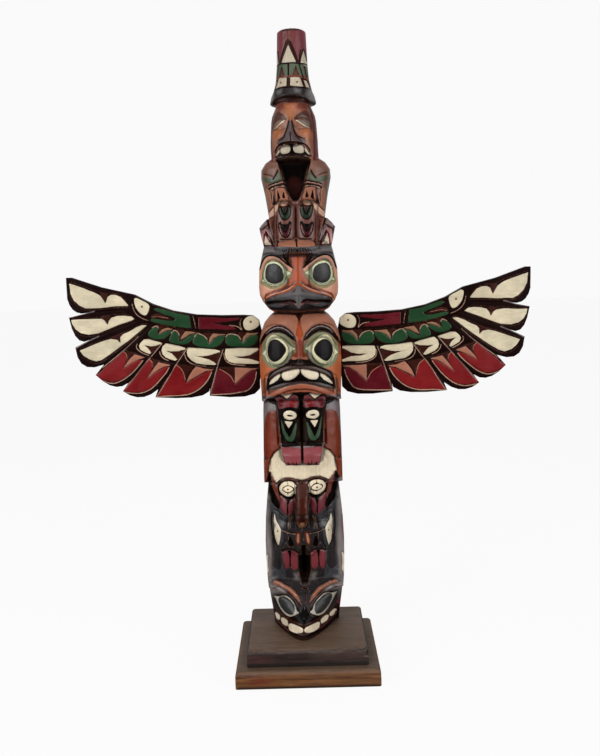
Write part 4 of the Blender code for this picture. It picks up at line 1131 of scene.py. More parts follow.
# %% Paint on the hooked beak
HAWK_BEAK_PAINT = (
    patch("soot", (-1.9, 353.4), (-0.2, 353.6), (3.1, 350.6), (9.1, 347.2), (16.8, 344.3), (24.7, 342.5),
      (28.8, 341.1), (29.6, 335.7), (24.1, 332), (17, 330.6), (8.5, 329.5), (-0.9, 327.3), (-2.7, 327.4)),
    # Painted sheen along the top of the beak.
    patch("mist", (-1, 352), (3, 349.6), (9, 346.4), (16, 344), (24, 342.6), (22, 341.6), (12, 343.6),
      (4, 344.8), (-1, 345)),
    line("salmon", 1.1, (2, 354.5), (5.7, 351.1), (11.7, 348.1), (18.6, 345.8), (26.5, 343.9), (29.4, 341.4),
      (30.7, 336.4)),
    line("umber", 0.6, (2.4, 355.7), (6.6, 352.3), (12.7, 349.4), (20.4, 347.1), (27.4, 345.6),
      (31.4, 341.1), (32.2, 338.1)),
    patch("black", (1.4, 338), (3.7, 340.6), (7.4, 341.4), (15.1, 339.8), (26.9, 339.6), (28.8, 338.4),
      (27.6, 336.4), (20, 337.2), (12, 338.4), (7.3, 339.2), (2.5, 336.9)),
    # Painted highlight along the lower lip of the beak.
    line("rose", 0.8, (2.8, 336.7), (5.7, 338.3), (8.5, 338.3), (11.8, 337), (16.8, 335.9)),
    patch("pupil", (1.5, 335.1), (4.4, 336.6), (8.8, 336.5), (13.9, 334.3), (19.2, 333.6), (27.3, 335.1),
      (24.1, 331.7), (16.4, 330.1), (8.7, 328.2), (-0.9, 327.3), (0, 332.6)),
    line("black", 0.7, (0, 350.6), (0, 345)),
    patch("black", (1.3, 349.9), (4.1, 349.2), (6.8, 346), (2.9, 346.8)),
    line("black", 0.9, (28.6, 341.6), (30, 336.2), (26, 331.8)),
)
print("the hooked beak:", len(HAWK_BEAK_PAINT), "shapes")

# %% Paint on the winged bird: nose, eye and brow
BIRD_EYE_PAINT = (
    band("brown", 318, 330.5),
    band("skin", 250.3, 327),
    patch("dark", (-0.9, 328.2), (3.6, 327.2), (1.1, 323.1), (1.2, 318), (-0.3, 314.7)),
    patch("glow", (-2, 322), (1.2, 320), (3, 312), (3, 304.3), (6.4, 299.9), (7.4, 293), (4, 290.6),
      (-2, 290.6)),
    patch("panel", (-1.1, 306), (1.6, 305), (4, 301), (5.6, 296.6), (6.4, 291), (-1.7, 290.6)),
    patch("glow", (33, 300), (90, 302), (90, 262), (34.4, 266), (33, 276), (34.4, 286)),
    patch("amber", (29.1, 293.1), (33.5, 291.8), (37.3, 287.8), (90, 284), (90, 254.9), (33, 257.7),
      (30.6, 270.3), (27.3, 277.2), (19.1, 281.6), (26.2, 282.8)),
    patch("moss", (3.7, 300.4), (5.6, 304.2), (9.1, 307.5), (12.7, 310.3), (17, 311.5), (22.3, 311.2),
      (26.7, 309.3), (30.7, 305), (33.7, 299.7), (34.5, 292.5), (33.1, 288.3), (31, 284.2), (27.3, 280.7),
      (22, 279.8), (15.9, 282.2), (10.4, 286.4), (7.6, 291.3), (3.6, 295.3)),
    patch("pale", (3.8, 297.8), (7.2, 298.8), (9.9, 301.6), (12.6, 304.6), (16.5, 307.6), (20.5, 309.4),
      (24, 309.4), (27.5, 306.8), (30, 302.3), (30.6, 296.9), (33.4, 292.7), (30.9, 290.8), (29.3, 286.5),
      (26, 283.6), (22.1, 282.9), (17, 285.2), (12.8, 288.9), (9.7, 293), (6.6, 295.7)),
    curved("pupil", (11.5, 296.5), (13.9, 301.2), (17.3, 304.5), (21.4, 306), (25.4, 304.6), (28.3, 300.6),
      (29.1, 295.2), (28.1, 290), (25.4, 286.6), (22.1, 285.7), (18, 288.1), (14, 291.8)),
    patch("black", (3.3, 304.6), (5.3, 309.7), (8.4, 313.9), (12.8, 316.7), (18, 318), (22.4, 317.3),
      (26.4, 315.1), (29.7, 311.6), (33, 306.8), (35.1, 302), (32.4, 304.8), (29.4, 308.6), (26.4, 311.1),
      (22.3, 312.4), (17.1, 312.7), (12.3, 311.2), (8.3, 308.4)),
    # Painted highlight along the brow.
    line("greyer", 0.9, (5.7, 308.9), (8.7, 312.8), (12.9, 315.5), (18, 316.8), (22.4, 316.1), (26.2, 314),
      (29.4, 310.6)),
    line("dark", 0.9, (3.1, 304.3), (5, 309.4), (8.2, 313.9), (12.6, 316.8), (18, 318.2), (22.8, 317.4),
      (26.8, 315.3), (30.3, 311.4), (33.5, 306.3), (35.7, 301.5)),
    line("black", 1, (3.5, 304.3), (8.3, 307.7), (12.5, 310.8), (17.2, 312.1), (22.3, 311.8), (26.6, 310.5),
      (29.7, 307.9), (32.9, 303.7), (35.3, 300.2)),
    line("brown", 0.6, (3.6, 302.7), (6.4, 303.1), (8.2, 304.6)),
)
print("the winged bird, nose, eye and brow:", len(BIRD_EYE_PAINT), "shapes")

# %% Paint on the winged bird: mouth
BIRD_MOUTH_PAINT = (
    patch("black", (-1.7, 290.2), (0.9, 290.2), (5.2, 288.4), (10.4, 285.4), (15.6, 282.6), (20.8, 280.2),
      (26, 277.3), (28.9, 274), (30.1, 268.5), (31, 260.9), (25.8, 263.3), (18.8, 266.1), (8.3, 268.6),
      (-2.2, 269.4)),
    patch("smoke", (-1.8, 286.4), (2.5, 285.1), (6.8, 282.7), (12, 282.1), (17.2, 280.4), (23.3, 277.4),
      (27.1, 273.4), (28.9, 267.4), (26, 271.3), (21.5, 275.1), (16.3, 277.4), (7.6, 279.3), (0.7, 281.3),
      (-1.9, 281.2)),
    oval("black", (7.4, 285.5), (3, 3)),
    curved("ivory", (0.3, 281), (6.8, 279.5), (12, 278), (16.5, 276.7), (16.4, 273), (14.4, 270.1),
      (10.9, 270.2), (6.2, 271.6), (2.8, 273.9), (0.6, 276.8), rise=0.9),
    patch("ivory", (17.4, 276.3), (21.6, 274.2), (25.6, 270.4), (28.7, 264.9), (24.1, 267.1), (20.1, 269.7),
      (17.7, 272.9), rise=0.6),
    patch("smoke", (-2.2, 269.4), (8.3, 268.6), (17, 267.2), (24, 264.7), (30.7, 261.4), (30.6, 259.8),
      (18.6, 263.2), (8.2, 266.1), (-2.3, 267.5)),
    patch("copper", (-2, 266.4), (8.2, 265.4), (18.6, 262.4), (30.6, 259), (37, 256), (37, 250.4),
      (-2, 250.4)),
    patch("lip", (30.7, 272.1), (33.5, 269.4), (35.1, 256), (32, 257.3), (31.7, 263.5)),
    patch("black", (-2.5, 259.9), (2.8, 259), (4.6, 255.9), (1.8, 253.8), (-2.6, 253)),
)
print("the winged bird, mouth:", len(BIRD_MOUTH_PAINT), "shapes")

# %% Paint on the winged bird: body
BIRD_BODY_PAINT = (
    # Painted grey sheen on the black of the body and its outer sides.
    band("greyer", 175, 250.3),
    patch("greyer", (18.6, 256.9), (36.4, 254.8), (33, 170.6), (31.4, 174.3), (17.5, 207.1)),
    patch("black", (22.2, 253.8), (30.9, 253), (33, 251.7), (28.5, 248.4), (23, 246.3), (21.1, 241.1),
      (19.4, 228.8), (17.7, 215.6)),
    curved("rust", (23.3, 242.2), (28.3, 241.8), (32.4, 237.1), (34.3, 226.5), (35.2, 206.8), (35.4, 178.4),
      (33.3, 177.1), (30.8, 176.8), (19.2, 186.4), (18.9, 210.6), (19.5, 229.7), (21.1, 238.7)),
    curved("panel", (24.3, 240.4), (27.9, 239.9), (30.9, 235.6), (32.5, 225.3), (33.1, 206.9), (33.1, 185.5),
      (30, 181.3), (21, 189.9), (20.4, 208.7), (21.2, 227.4), (22.3, 237.1)),
    patch("black", (1.4, 259.4), (22.7, 255), (21.1, 241.1), (19.1, 228), (18.3, 210), (-1.9, 211.1),
      (-0.7, 259.5)),
    curved("plum", (2.8, 255), (7.2, 256.3), (12.9, 251.2), (17.8, 254.6), (22.9, 254.5), (20.9, 243.5),
      (16.5, 244.8), (11.3, 246.3), (6, 245.7), (3, 244.4), (1.9, 250.4)),
    curved("red", (4.3, 250.5), (6.6, 252.1), (9.4, 250.9), (10.4, 247.6), (9.9, 245.8), (6.5, 245.8)),
    curved("wine", (15, 250.2), (17.2, 251.9), (20.4, 251.5), (19.6, 245.5), (16.1, 246.9)),
    line("mauve", 0.4, (2.6, 245), (2.2, 250.4), (3.2, 254.6)),
    line("mauve", 0.4, (21.2, 244.5), (22.6, 253.6)),
    patch("ivory", (6.7, 256.9), (19.1, 257), (15.1, 254.2), (12.4, 251.7), (9.8, 254.5)),
    line("dark", 0.8, (6.9, 255.8), (9.8, 253.7), (12.4, 250.8), (15.7, 253.6), (19.9, 255.3)),
    oval("ivory", (10.1, 238.9), (5.8, 4.2), 8, rise=0.5),
    oval("black", (10.2, 238.7), (2.9, 0.8), 5),
    curved("laurel", (4, 236.3), (7, 233.4), (11.4, 227.3), (15.8, 233.9), (18, 238.4), (17.5, 229.2),
      (16.1, 221.7), (13.7, 216.6), (9.9, 214.7), (6.8, 217.3), (4.8, 224.1)),
    patch("black", (3.6, 236.4), (6.6, 228.6), (11.2, 218.4), (15.4, 228), (17.8, 237.4), (11, 235)),
    patch("ivory", (7.9, 233.4), (15, 234.1), (13.3, 230.8), (11.4, 227.4)),
    curved("rose", (0.4, 210), (7, 209.5), (13.2, 210.1), (19, 209.4), (17.7, 203.9), (15.4, 197),
      (14.8, 191.7), (0.1, 192.6)),
    line("dark", 1.3, (0.4, 210.3), (0.2, 198.7)),
    line("dark", 0.9, (4.9, 198.7), (5.4, 192.7)),
    line("dark", 1, (8.1, 198.8), (7.6, 192.6)),
    line("dark", 1.4, (12.4, 197.2), (12.2, 191.9)),
    line("dark", 0.6, (0.4, 192.4), (8.5, 192.1), (14.8, 191.9)),
    patch("bone", (18.8, 208.6), (22.8, 205.5), (26.2, 202.1), (28.8, 197.2), (30.5, 190.6), (31.1, 185),
      (29.5, 184.7), (26.9, 181.2), (24.4, 177.1), (22.3, 173.6), (20.5, 176.6), (16.3, 179.6),
      (11.8, 179.9), (6.4, 178.5), (2.2, 177.3), (-0.5, 176.2), (-2.7, 176.9), (-2.3, 192.6), (14.9, 191.5),
      (17.7, 203)),
)
print("the winged bird, body:", len(BIRD_BODY_PAINT), "shapes")

# %% Paint on the pale-headed bird: head
EAGLE_HEAD_PAINT = (
    band("soot", 84, 176),
    patch("jet", (-1, 150), (11, 150), (16, 142), (18.6, 130), (18, 116), (20, 100), (17, 86), (-1, 84)),
    patch("soot", (29.5, 184.7), (31.7, 179.4), (35.4, 153.4), (31.4, 157.1), (27, 168.8), (25.3, 175.6)),
    # Painted pale sheen down the sides.
    patch("fog", (30.6, 176), (38, 176), (40, 84), (31.6, 84), (30, 110), (31.6, 140)),
    patch("bone", (22.3, 173.4), (24.6, 177.1), (27.8, 181.6), (29.1, 184.1), (28.6, 178.6), (26.6, 172.9),
      (24.3, 168.2), (22.5, 166.2), (22.1, 170.5)),
    patch("black", (30.2, 184.6), (33.2, 179), (32.6, 168), (28.4, 157), (21.6, 150.4), (19, 158), (24, 167),
      (27.3, 174.5)),
    patch("rust", (29.6, 183.2), (28.2, 174.5), (25.4, 166), (20.4, 157), (21, 166), (22, 172.2),
      (24.4, 176.2)),
    curved("black", (2.6, 171.5), (5, 178), (12.6, 181), (20, 179), (23.4, 174.5), (22, 167), (20.8, 162.4),
      (12.6, 161.6), (4.8, 162)),
    line("umber", 2.2, (0, 177.3), (5.4, 179.2), (12.1, 180.7), (18.7, 179.4), (23.6, 175.6)),
    line("rust", 0.8, (4.5, 179), (12.1, 180.9), (18.2, 179.8)),
    oval("bone", (12.6, 171.6), (8.3, 6.9), rise=0.8),
    loop("black", 1, (7.2, 171.2), (10.2, 174.4), (13.1, 175.3), (16, 174.2), (18.6, 171.6), (15.8, 169.2),
      (13, 168.5), (10.2, 169.1)),
    oval("dark", (13.1, 171.6), (0.9, 0.9)),
    line("black", 0.8, (13.1, 177.8), (13.1, 174.9)),
    line("black", 0.8, (13.1, 168.6), (13.1, 166.2)),
    curved("maroon", (5.9, 164.6), (9.2, 162), (12.6, 160.6), (17, 162.6), (21.3, 166.2), (21, 158.5),
      (19.4, 152), (15.4, 147), (10.4, 147), (6.6, 153.4), rise=0.5),
    patch("black", (10.6, 163), (15.2, 163), (13.8, 157), (14, 148.6), (12.4, 148.6), (12.6, 157)),
    line("rose", 0.6, (6.9, 163.2), (9.4, 160.6), (11.4, 157.5)),
    line("rose", 0.5, (15, 158.4), (17.2, 161.6), (20.2, 164.2)),
    patch("bark", (-0.9, 177), (4.6, 176.5), (5.4, 170), (5.3, 162), (4.8, 152), (4.9, 145), (4.2, 140.4),
      (-0.1, 136.6), (-1.8, 137), (-1.8, 176.4)),
    line("black", 0.9, (5.8, 174), (5.9, 160), (5.4, 150.3)),
    line("rust", 0.6, (2.4, 172), (2.8, 163), (2.4, 155.4)),
    patch("dark", (-1.9, 151.8), (3.3, 151.2), (3.7, 146.6), (1.7, 144.6), (-1.8, 144.4)),
    patch("line", (-1, 144.2), (1, 143.8), (2.6, 142.2), (0.6, 139.6), (-1, 139.6)),
    line("tan", 0.9, (0, 138.2), (2.5, 139.8), (4.9, 143.4)),
)
print("the pale-headed bird, head:", len(EAGLE_HEAD_PAINT), "shapes")

# %% Paint on the pale-headed bird: body
EAGLE_BODY_PAINT = (
    line("black", 1, (13.6, 149), (12.9, 144.2), (14.1, 138.3), (14, 133.8)),
    line("lid", 0.7, (12.7, 148.4), (12, 144.2), (13.2, 138.3), (13.2, 133.8)),
    line("line", 0.9, (8.6, 146.4), (10.9, 142.6), (11.8, 137.5), (10.8, 134)),
    line("black", 1.2, (7, 147.4), (7.7, 141.5), (7.4, 135)),
    line("black", 1, (26, 150.4), (21.4, 149), (17.6, 145.4)),
    line("black", 1, (2.8, 130.6), (7.6, 130.4), (13.9, 131.3), (19.6, 133.9)),
    line("lid", 0.7, (2.8, 129.5), (7.6, 129.4), (13.9, 130.3), (19.2, 132.7)),
    line("black", 1.3, (28.2, 147), (29.4, 139), (28.8, 129), (26.6, 119), (23.6, 111.6)),
    patch("ivory", (25.6, 146.8), (27.2, 139.2), (26.8, 130.6), (25.6, 120.6), (23.3, 113.9), (21.1, 124.6),
      (20.1, 133), (22.4, 137.2), (24.5, 140.4), rise=0.3),
    oval("brown", (23.4, 131), (0.7, 0.7)),
    patch("brown", (1.8, 132.4), (5.6, 131.6), (6.9, 124), (6.1, 117.4), (3.6, 117.2), (2, 123.5)),
    patch("flank", (3.2, 130.2), (4.9, 129.6), (5.7, 123.6), (5, 118.8), (3.4, 122.5)),
    line("lid", 0.6, (0.5, 134), (0.5, 126), (1.2, 119.6)),
    line("lid", 0.7, (14.2, 130), (13, 123.4), (14.2, 118.3)),
    patch("black", (10.4, 126.6), (12.6, 127.4), (14, 120), (12.2, 117), (10, 117.6), (7.9, 118.2)),
    line("black", 1.1, (17, 123.4), (19.3, 117.2), (20.6, 111.4)),
    patch("maroon", (6.3, 110.4), (9, 112.6), (12.6, 113.6), (16.4, 112.8), (19.4, 110.6), (19.6, 102.6),
      (17.6, 92.9), (13.4, 98.3), (9.6, 94.4), (6.6, 95), (6, 102), rise=0.5),
    patch("black", (11.2, 113.6), (14.6, 113.4), (13.6, 106), (13.9, 98), (12.4, 97.6), (12.3, 106)),
    line("black", 1.3, (5.9, 111.2), (8.4, 114.2), (12.4, 115.6), (16.4, 114.6), (19.9, 111.6)),
    line("lid", 0.5, (8.2, 115.6), (12.4, 117), (16.6, 116)),
    line("lip", 0.6, (8.2, 93.4), (10.4, 94.2), (13.2, 97.2), (15.6, 94.6)),
    line("lid", 0.6, (9.6, 90), (11.6, 82.6)),
    # A small patch of painted sheen beside the slot.
    patch("mist", (7, 90), (10, 91), (9.4, 84), (6.4, 83)),
    patch("jet", (20.6, 112), (26, 122), (29.6, 124), (30, 96), (24, 92), (20.6, 98)),
    patch("black", (-1, 119), (1.6, 118.2), (4, 114.4), (5.4, 111), (5.5, 101), (5.3, 90), (4, 84.6),
      (2.2, 79.6), (-1, 79.4)),
    patch("pit", (-1, 87), (2.8, 86.4), (2, 81), (-1, 80)),
    line("lid", 0.4, (6.2, 92), (5.4, 86), (3, 80)),
    patch("maroon", (35.1, 143.2), (37, 139.8), (38.3, 116.6), (35.7, 121.2)),
    patch("ivory", (34.3, 108.2), (38.3, 103.9), (37.3, 85.6), (33.8, 91.1)),
)
print("the pale-headed bird, body:", len(EAGLE_BODY_PAINT), "shapes")

# %% Paint on the long-snouted head
WHALE_PAINT = (
    band("jet", 20, 84),
    # Painted sheen down the sides.
    patch("mist", (26, 86), (40, 86), (40, 52), (33, 52), (31, 62), (31, 76)),
    line("black", 0.9, (0, 72), (0, 62)),
    oval("black", (0, 75.5), (2.8, 0.7)),
    patch("black", (-1, 63), (1.6, 60), (4, 55.4), (9, 51), (15, 49.4), (15, 46.5), (-1, 45.5)),
    # Painted grey highlights near the centre line.
    line("greyer", 0.4, (0, 62), (0, 52)),
    line("greyer", 0.5, (2.2, 77), (4.4, 71.8)),
    patch("russet", (30.6, 79.7), (29, 82.2), (21.4, 80.3), (12.7, 76.3), (6.4, 69.6), (3.3, 61.6),
      (8, 66.3), (15.6, 72.4), (23.7, 76.4), (30.3, 77.3), rise=0.6),
    # Painted highlight along the top of the brow.
    line("salmon", 0.8, (28, 80.4), (20.6, 78.2), (13.2, 74.2), (8.4, 69.6)),
    line("dark", 0.9, (3.3, 61.2), (7.6, 65.6), (15.6, 71.6), (23.7, 75.6), (30.4, 76.6)),
    line("black", 0.7, (2.8, 62.6), (5.8, 70.2), (12.4, 77), (21.2, 81.2), (29, 83), (31.2, 79.6)),
    patch("black", (3.6, 56), (7, 61.2), (10.6, 66.4), (17.4, 71), (24.4, 69.4), (31, 67.6), (28.6, 63),
      (24.8, 54.6), (17.4, 49.2), (9.8, 50.8)),
    # Painted pale sheen between the eye and the brow.
    patch("fog", (17, 74), (24, 76.8), (31, 78.4), (38, 80), (38, 60), (33, 66), (30, 68.6), (24, 71),
      (19, 72)),
    patch("chalk", (4.8, 56.1), (7.6, 57.6), (8.4, 60.6), (11.2, 65), (14.2, 67.6), (17.6, 69.4), (21.2, 69),
      (24.6, 67.4), (29.8, 66.2), (27.4, 62.6), (25.8, 58.6), (23.4, 54.8), (20.6, 52), (17.2, 50.6),
      (13.4, 50.9), (10, 52.6)),
    curved("slate", (9, 56.2), (9.5, 60.5), (12, 64.3), (15.8, 67.4), (20.2, 68.3), (24.3, 67.2),
      (25.2, 63.9), (24, 59.6), (21.2, 55.1), (16.8, 52.4), (12, 52.6)),
    patch("dark", (-1.7, 48.4), (13.8, 48.6), (22.2, 48), (27.8, 49.4), (34.3, 49.5), (33.2, 35.5),
      (25.9, 36), (19.3, 36.2), (11.9, 36.4), (3.7, 36.4), (-1.8, 35.2)),
    patch("maroon", (29.5, 53), (36, 62), (40, 60), (40, 46), (32, 43), (31.4, 47)),
    patch("black", (-1, 38.2), (14, 37.4), (22, 37.6), (34, 37.4), (34, 20), (-1, 20)),
    line("maroon", 0.9, (14, 37), (22, 37.4), (31, 38)),
    curved("ivory", (0.6, 39.8), (5, 38.6), (10.2, 38.1), (14.4, 38.1), (14.9, 42.4), (12.6, 45.2),
      (8.2, 45.8), (3.6, 45.2), (0.5, 43.6), rise=0.7),
    curved("ivory", (15.4, 40), (18.6, 39.2), (22.4, 39.4), (22.8, 43.4), (20.8, 46.2), (17.6, 47),
      (14.9, 45.8), rise=0.6),
    curved("ivory", (23.6, 40.4), (26, 39.3), (28.6, 39.4), (29.8, 42.6), (28.4, 45.4), (26, 46.7),
      (23.2, 45.6), rise=0.5),
    line("bark", 0.9, (-1.7, 46.6), (6.5, 48), (13.8, 48.6), (22.2, 48.8), (28.2, 50.4)),
)
print("the long-snouted head:", len(WHALE_PAINT), "shapes")

# %% Paint and knife lines on the pole
# The back of the billet was only stained: past this angle there is no paint below the hat.
BARE_BACK = 128.0
LAYER_PREFIX = "paint_"
# Marks of the knife on the front: depth, length across, length upwards, seed
KNIFE_MARKS = ((0.14, 3.5, 5.0, 7), (0.06, 1.6, 1.9, 8))
KNIFE_FADE = (92.0, 80.0)
RIDGE_SPREAD = 6


def write_number(mesh, name, values):
    layer = mesh.attributes.new(name, 'FLOAT', 'POINT')
    layer.data.foreach_set("value", values.astype(np.float32))


def write_paint(mesh, layers):
    for paint, distance in layers.items():
        if distance.min() < 0.0:
            write_number(mesh, LAYER_PREFIX + paint, np.clip(distance, -FAR, FAR))


def smooth_shade(mesh):
    for polygon in mesh.polygons:
        polygon.use_smooth = True


def ridges(form, spread):
    """How far each place of a grid stands over the average round it: ridges above zero, hollows below."""
    soft = form.copy()
    for axis in (0, 1):
        for _ in range(spread):
            soft = (np.roll(soft, 1, axis) + 2.0 * soft + np.roll(soft, -1, axis)) / 4.0
    return form - soft


layers = blank_layers(len(z))
relief = np.zeros(len(z))
DESIGN = (
    HAT_PAINT, MAN_FACE_PAINT, MAN_ARMS_PAINT, MAN_LEGS_PAINT, EARS_PAINT, HAWK_EYE_PAINT, HAWK_BEAK_PAINT,
    BIRD_EYE_PAINT, BIRD_MOUTH_PAINT, BIRD_BODY_PAINT, EAGLE_HEAD_PAINT, EAGLE_BODY_PAINT, WHALE_PAINT,
)
for figure in DESIGN:
    for shape in figure:
        paint_shape(layers, relief, side, height, shape)
behind = np.radians(BARE_BACK - np.degrees(np.abs(turn))) * half
cover(layers, None, np.where(z > BRIM_UNDER, FAR, behind), np.arange(len(z)))

knife = sum(deep * unevenness(signed / wide, z / high, seed) for deep, wide, high, seed in KNIFE_MARKS)
reach = reach + (relief + knife) * ease(np.degrees(np.abs(turn)), *KNIFE_FADE)
move_corners(pole.data, np.stack((across, -reach, z), axis=1) * MM)
write_paint(pole.data, layers)
grid = np.zeros((RINGS, COLUMNS))
grid[ring, lap] = reach
# Below zero, the ridge number darkens the hollows: dirt and painted shade.
write_number(pole.data, "ridge", ridges(grid, RIDGE_SPREAD)[ring, lap])
smooth_shade(pole.data)
closed = bmesh.new()
closed.from_mesh(pole.data)
bmesh.ops.recalc_face_normals(closed, faces=closed.faces)
bmesh.ops.triangulate(closed, faces=[f for f in closed.faces if len(f.verts) > 4])
closed.to_mesh(pole.data)
closed.free()
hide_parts("pole")
print("pole:", len(pole.data.polygons), "faces")

# %% [markdown]
# ## The wing boards
# Each wing is a board 6 mm thick, sawn to the outline of its feathers, with a bar raised along the top
# edge. A fine sheet from `create_grid` is trimmed by `bisect_plane` along the outline, and
# `extrude_face_region` gives it its thickness. Both wings use one outline, mirrored, and each gets small
# errors of its own.

# %% Outline of a wing
WING_FRONT = -12.0
WING_THICK = 6.0
GAP = 0.3
WING_TOP_EDGE = (
    (36.6, 321.5), (42.0, 325.7), (50.0, 326.4), (70.6, 326.6), (93.0, 327.8), (114.0, 331.8),
    (132.0, 338.2), (148.2, 347.0), (177.7, 354.2), (204.5, 363.6), (208.5, 363.5),
)
WING_ROOT_HEIGHTS = (272.0, 281.0, 290.0, 298.0, 305.0, 312.0)
# For each feather, outermost first: tip, lowest point of its curved edge, notch to the next feather
FEATHERS = (
    ((208.7, 344.8), (203.0, 333.6), (191.8, 331.5)),
    ((208.3, 327.9), (202.0, 308.6), (190.5, 307.3)),
    ((204.3, 300.7), (197.5, 283.8), (179.4, 284.3)),
    ((187.5, 274.9), (172.0, 264.0), (158.3, 266.8)),
    ((163.4, 259.3), (147.5, 253.2), (131.2, 260.2)),
    ((134.0, 252.9), (95.0, 252.6), (83.5, 261.6)),
    ((84.0, 253.2), (46.5, 252.6), (37.6, 265.4)),
)
EDGE_STEPS = 5


def curved_edge(tip, low, notch):
    """A feather's rounded edge: from the tip, drawn down to its lowest point, up to the notch."""
    control = [2.0 * low[i] - 0.5 * (tip[i] + notch[i]) for i in (0, 1)]
    steps = [k / EDGE_STEPS for k in range(1, EDGE_STEPS + 1)]
    return [tuple((1 - t) ** 2 * tip[i] + 2 * t * (1 - t) * control[i] + t * t * notch[i] for i in (0, 1))
            for t in steps]


def wing_outline():
    outline = list(WING_TOP_EDGE)
    for tip, low, notch in FEATHERS:
        outline += [tip] + curved_edge(tip, low, notch)
    return outline + [(float(outline_at(level)[0]) + GAP, level) for level in WING_ROOT_HEIGHTS]


print("wing outline:", len(wing_outline()), "points")

# %% The trimmed sheet
SHEET_CELL = 0.66
TOUCHING = 1e-4


def middles(faces):
    return np.array([f.calc_center_median()[:2] for f in faces])


def trimmed_sheet(outline):
    """A fine grid of squares cut exactly along the outline, in the plane of x and y."""
    outline = np.array(outline)
    low, high = outline.min(axis=0) - SHEET_CELL, outline.max(axis=0) + SHEET_CELL
    count = np.ceil((high - low) / SHEET_CELL).astype(int)
    sheet = bmesh.new()
    bmesh.ops.create_grid(sheet, x_segments=int(count[0]), y_segments=int(count[1]), size=1.0)
    bmesh.ops.scale(sheet, vec=(*(high - low) / 2, 1.0), verts=sheet.verts)
    bmesh.ops.translate(sheet, vec=(*(low + high) / 2, 0.0), verts=sheet.verts)
    faces = list(sheet.faces)
    distance = patch_distance(*middles(faces).T, outline)
    rim = [f for f, d in zip(faces, distance) if abs(d) <= 2.0 * SHEET_CELL]
    outer = [f for f, d in zip(faces, distance) if d > 2.0 * SHEET_CELL]
    bmesh.ops.delete(sheet, geom=outer, context='FACES')
    for a, b in zip(outline, np.roll(outline, -1, axis=0)):
        near = segment_distance(*middles(rim).T, a, b) < SHEET_CELL
        chosen = [f for f, is_near in zip(rim, near) if is_near]
        parts = set(chosen)
        for f in chosen:
            parts.update(f.edges)
            parts.update(f.verts)
        across_line = Vector((b[1] - a[1], a[0] - b[0], 0.0)).normalized()
        cut = bmesh.ops.bisect_plane(sheet, geom=list(parts), dist=TOUCHING, plane_co=(a[0], a[1], 0.0),
                                     plane_no=across_line)
        made = [g for g in cut["geom"] if isinstance(g, bmesh.types.BMFace)]
        rim = list({f for f in rim + made if f.is_valid})
        rim.sort(key=lambda f: tuple(f.calc_center_median()))
    outside = patch_distance(*middles(rim).T, outline) > 0.0
    bmesh.ops.delete(sheet, geom=[f for f, is_out in zip(rim, outside) if is_out], context='FACES')
    return sheet


def wing_blank(name, sign):
    """The flat board: the sheet is stood up facing forward and given its thickness."""
    board = trimmed_sheet(wing_outline())
    for v in board.verts:
        v.co = (sign * v.co.x, -WING_FRONT, v.co.y)
    grown = bmesh.ops.extrude_face_region(board, geom=list(board.faces))
    moved = [v for v in grown["geom"] if isinstance(v, bmesh.types.BMVert)]
    bmesh.ops.translate(board, vec=(0.0, WING_THICK, 0.0), verts=moved)
    bmesh.ops.dissolve_degenerate(board, dist=10 * TOUCHING, edges=board.edges)
    return write_mesh(name, board)


wings = {-1.0: wing_blank("left_wing", -1.0), 1.0: wing_blank("right_wing", 1.0)}
print("wing blanks:", [len(piece.data.polygons) for piece in wings.values()])
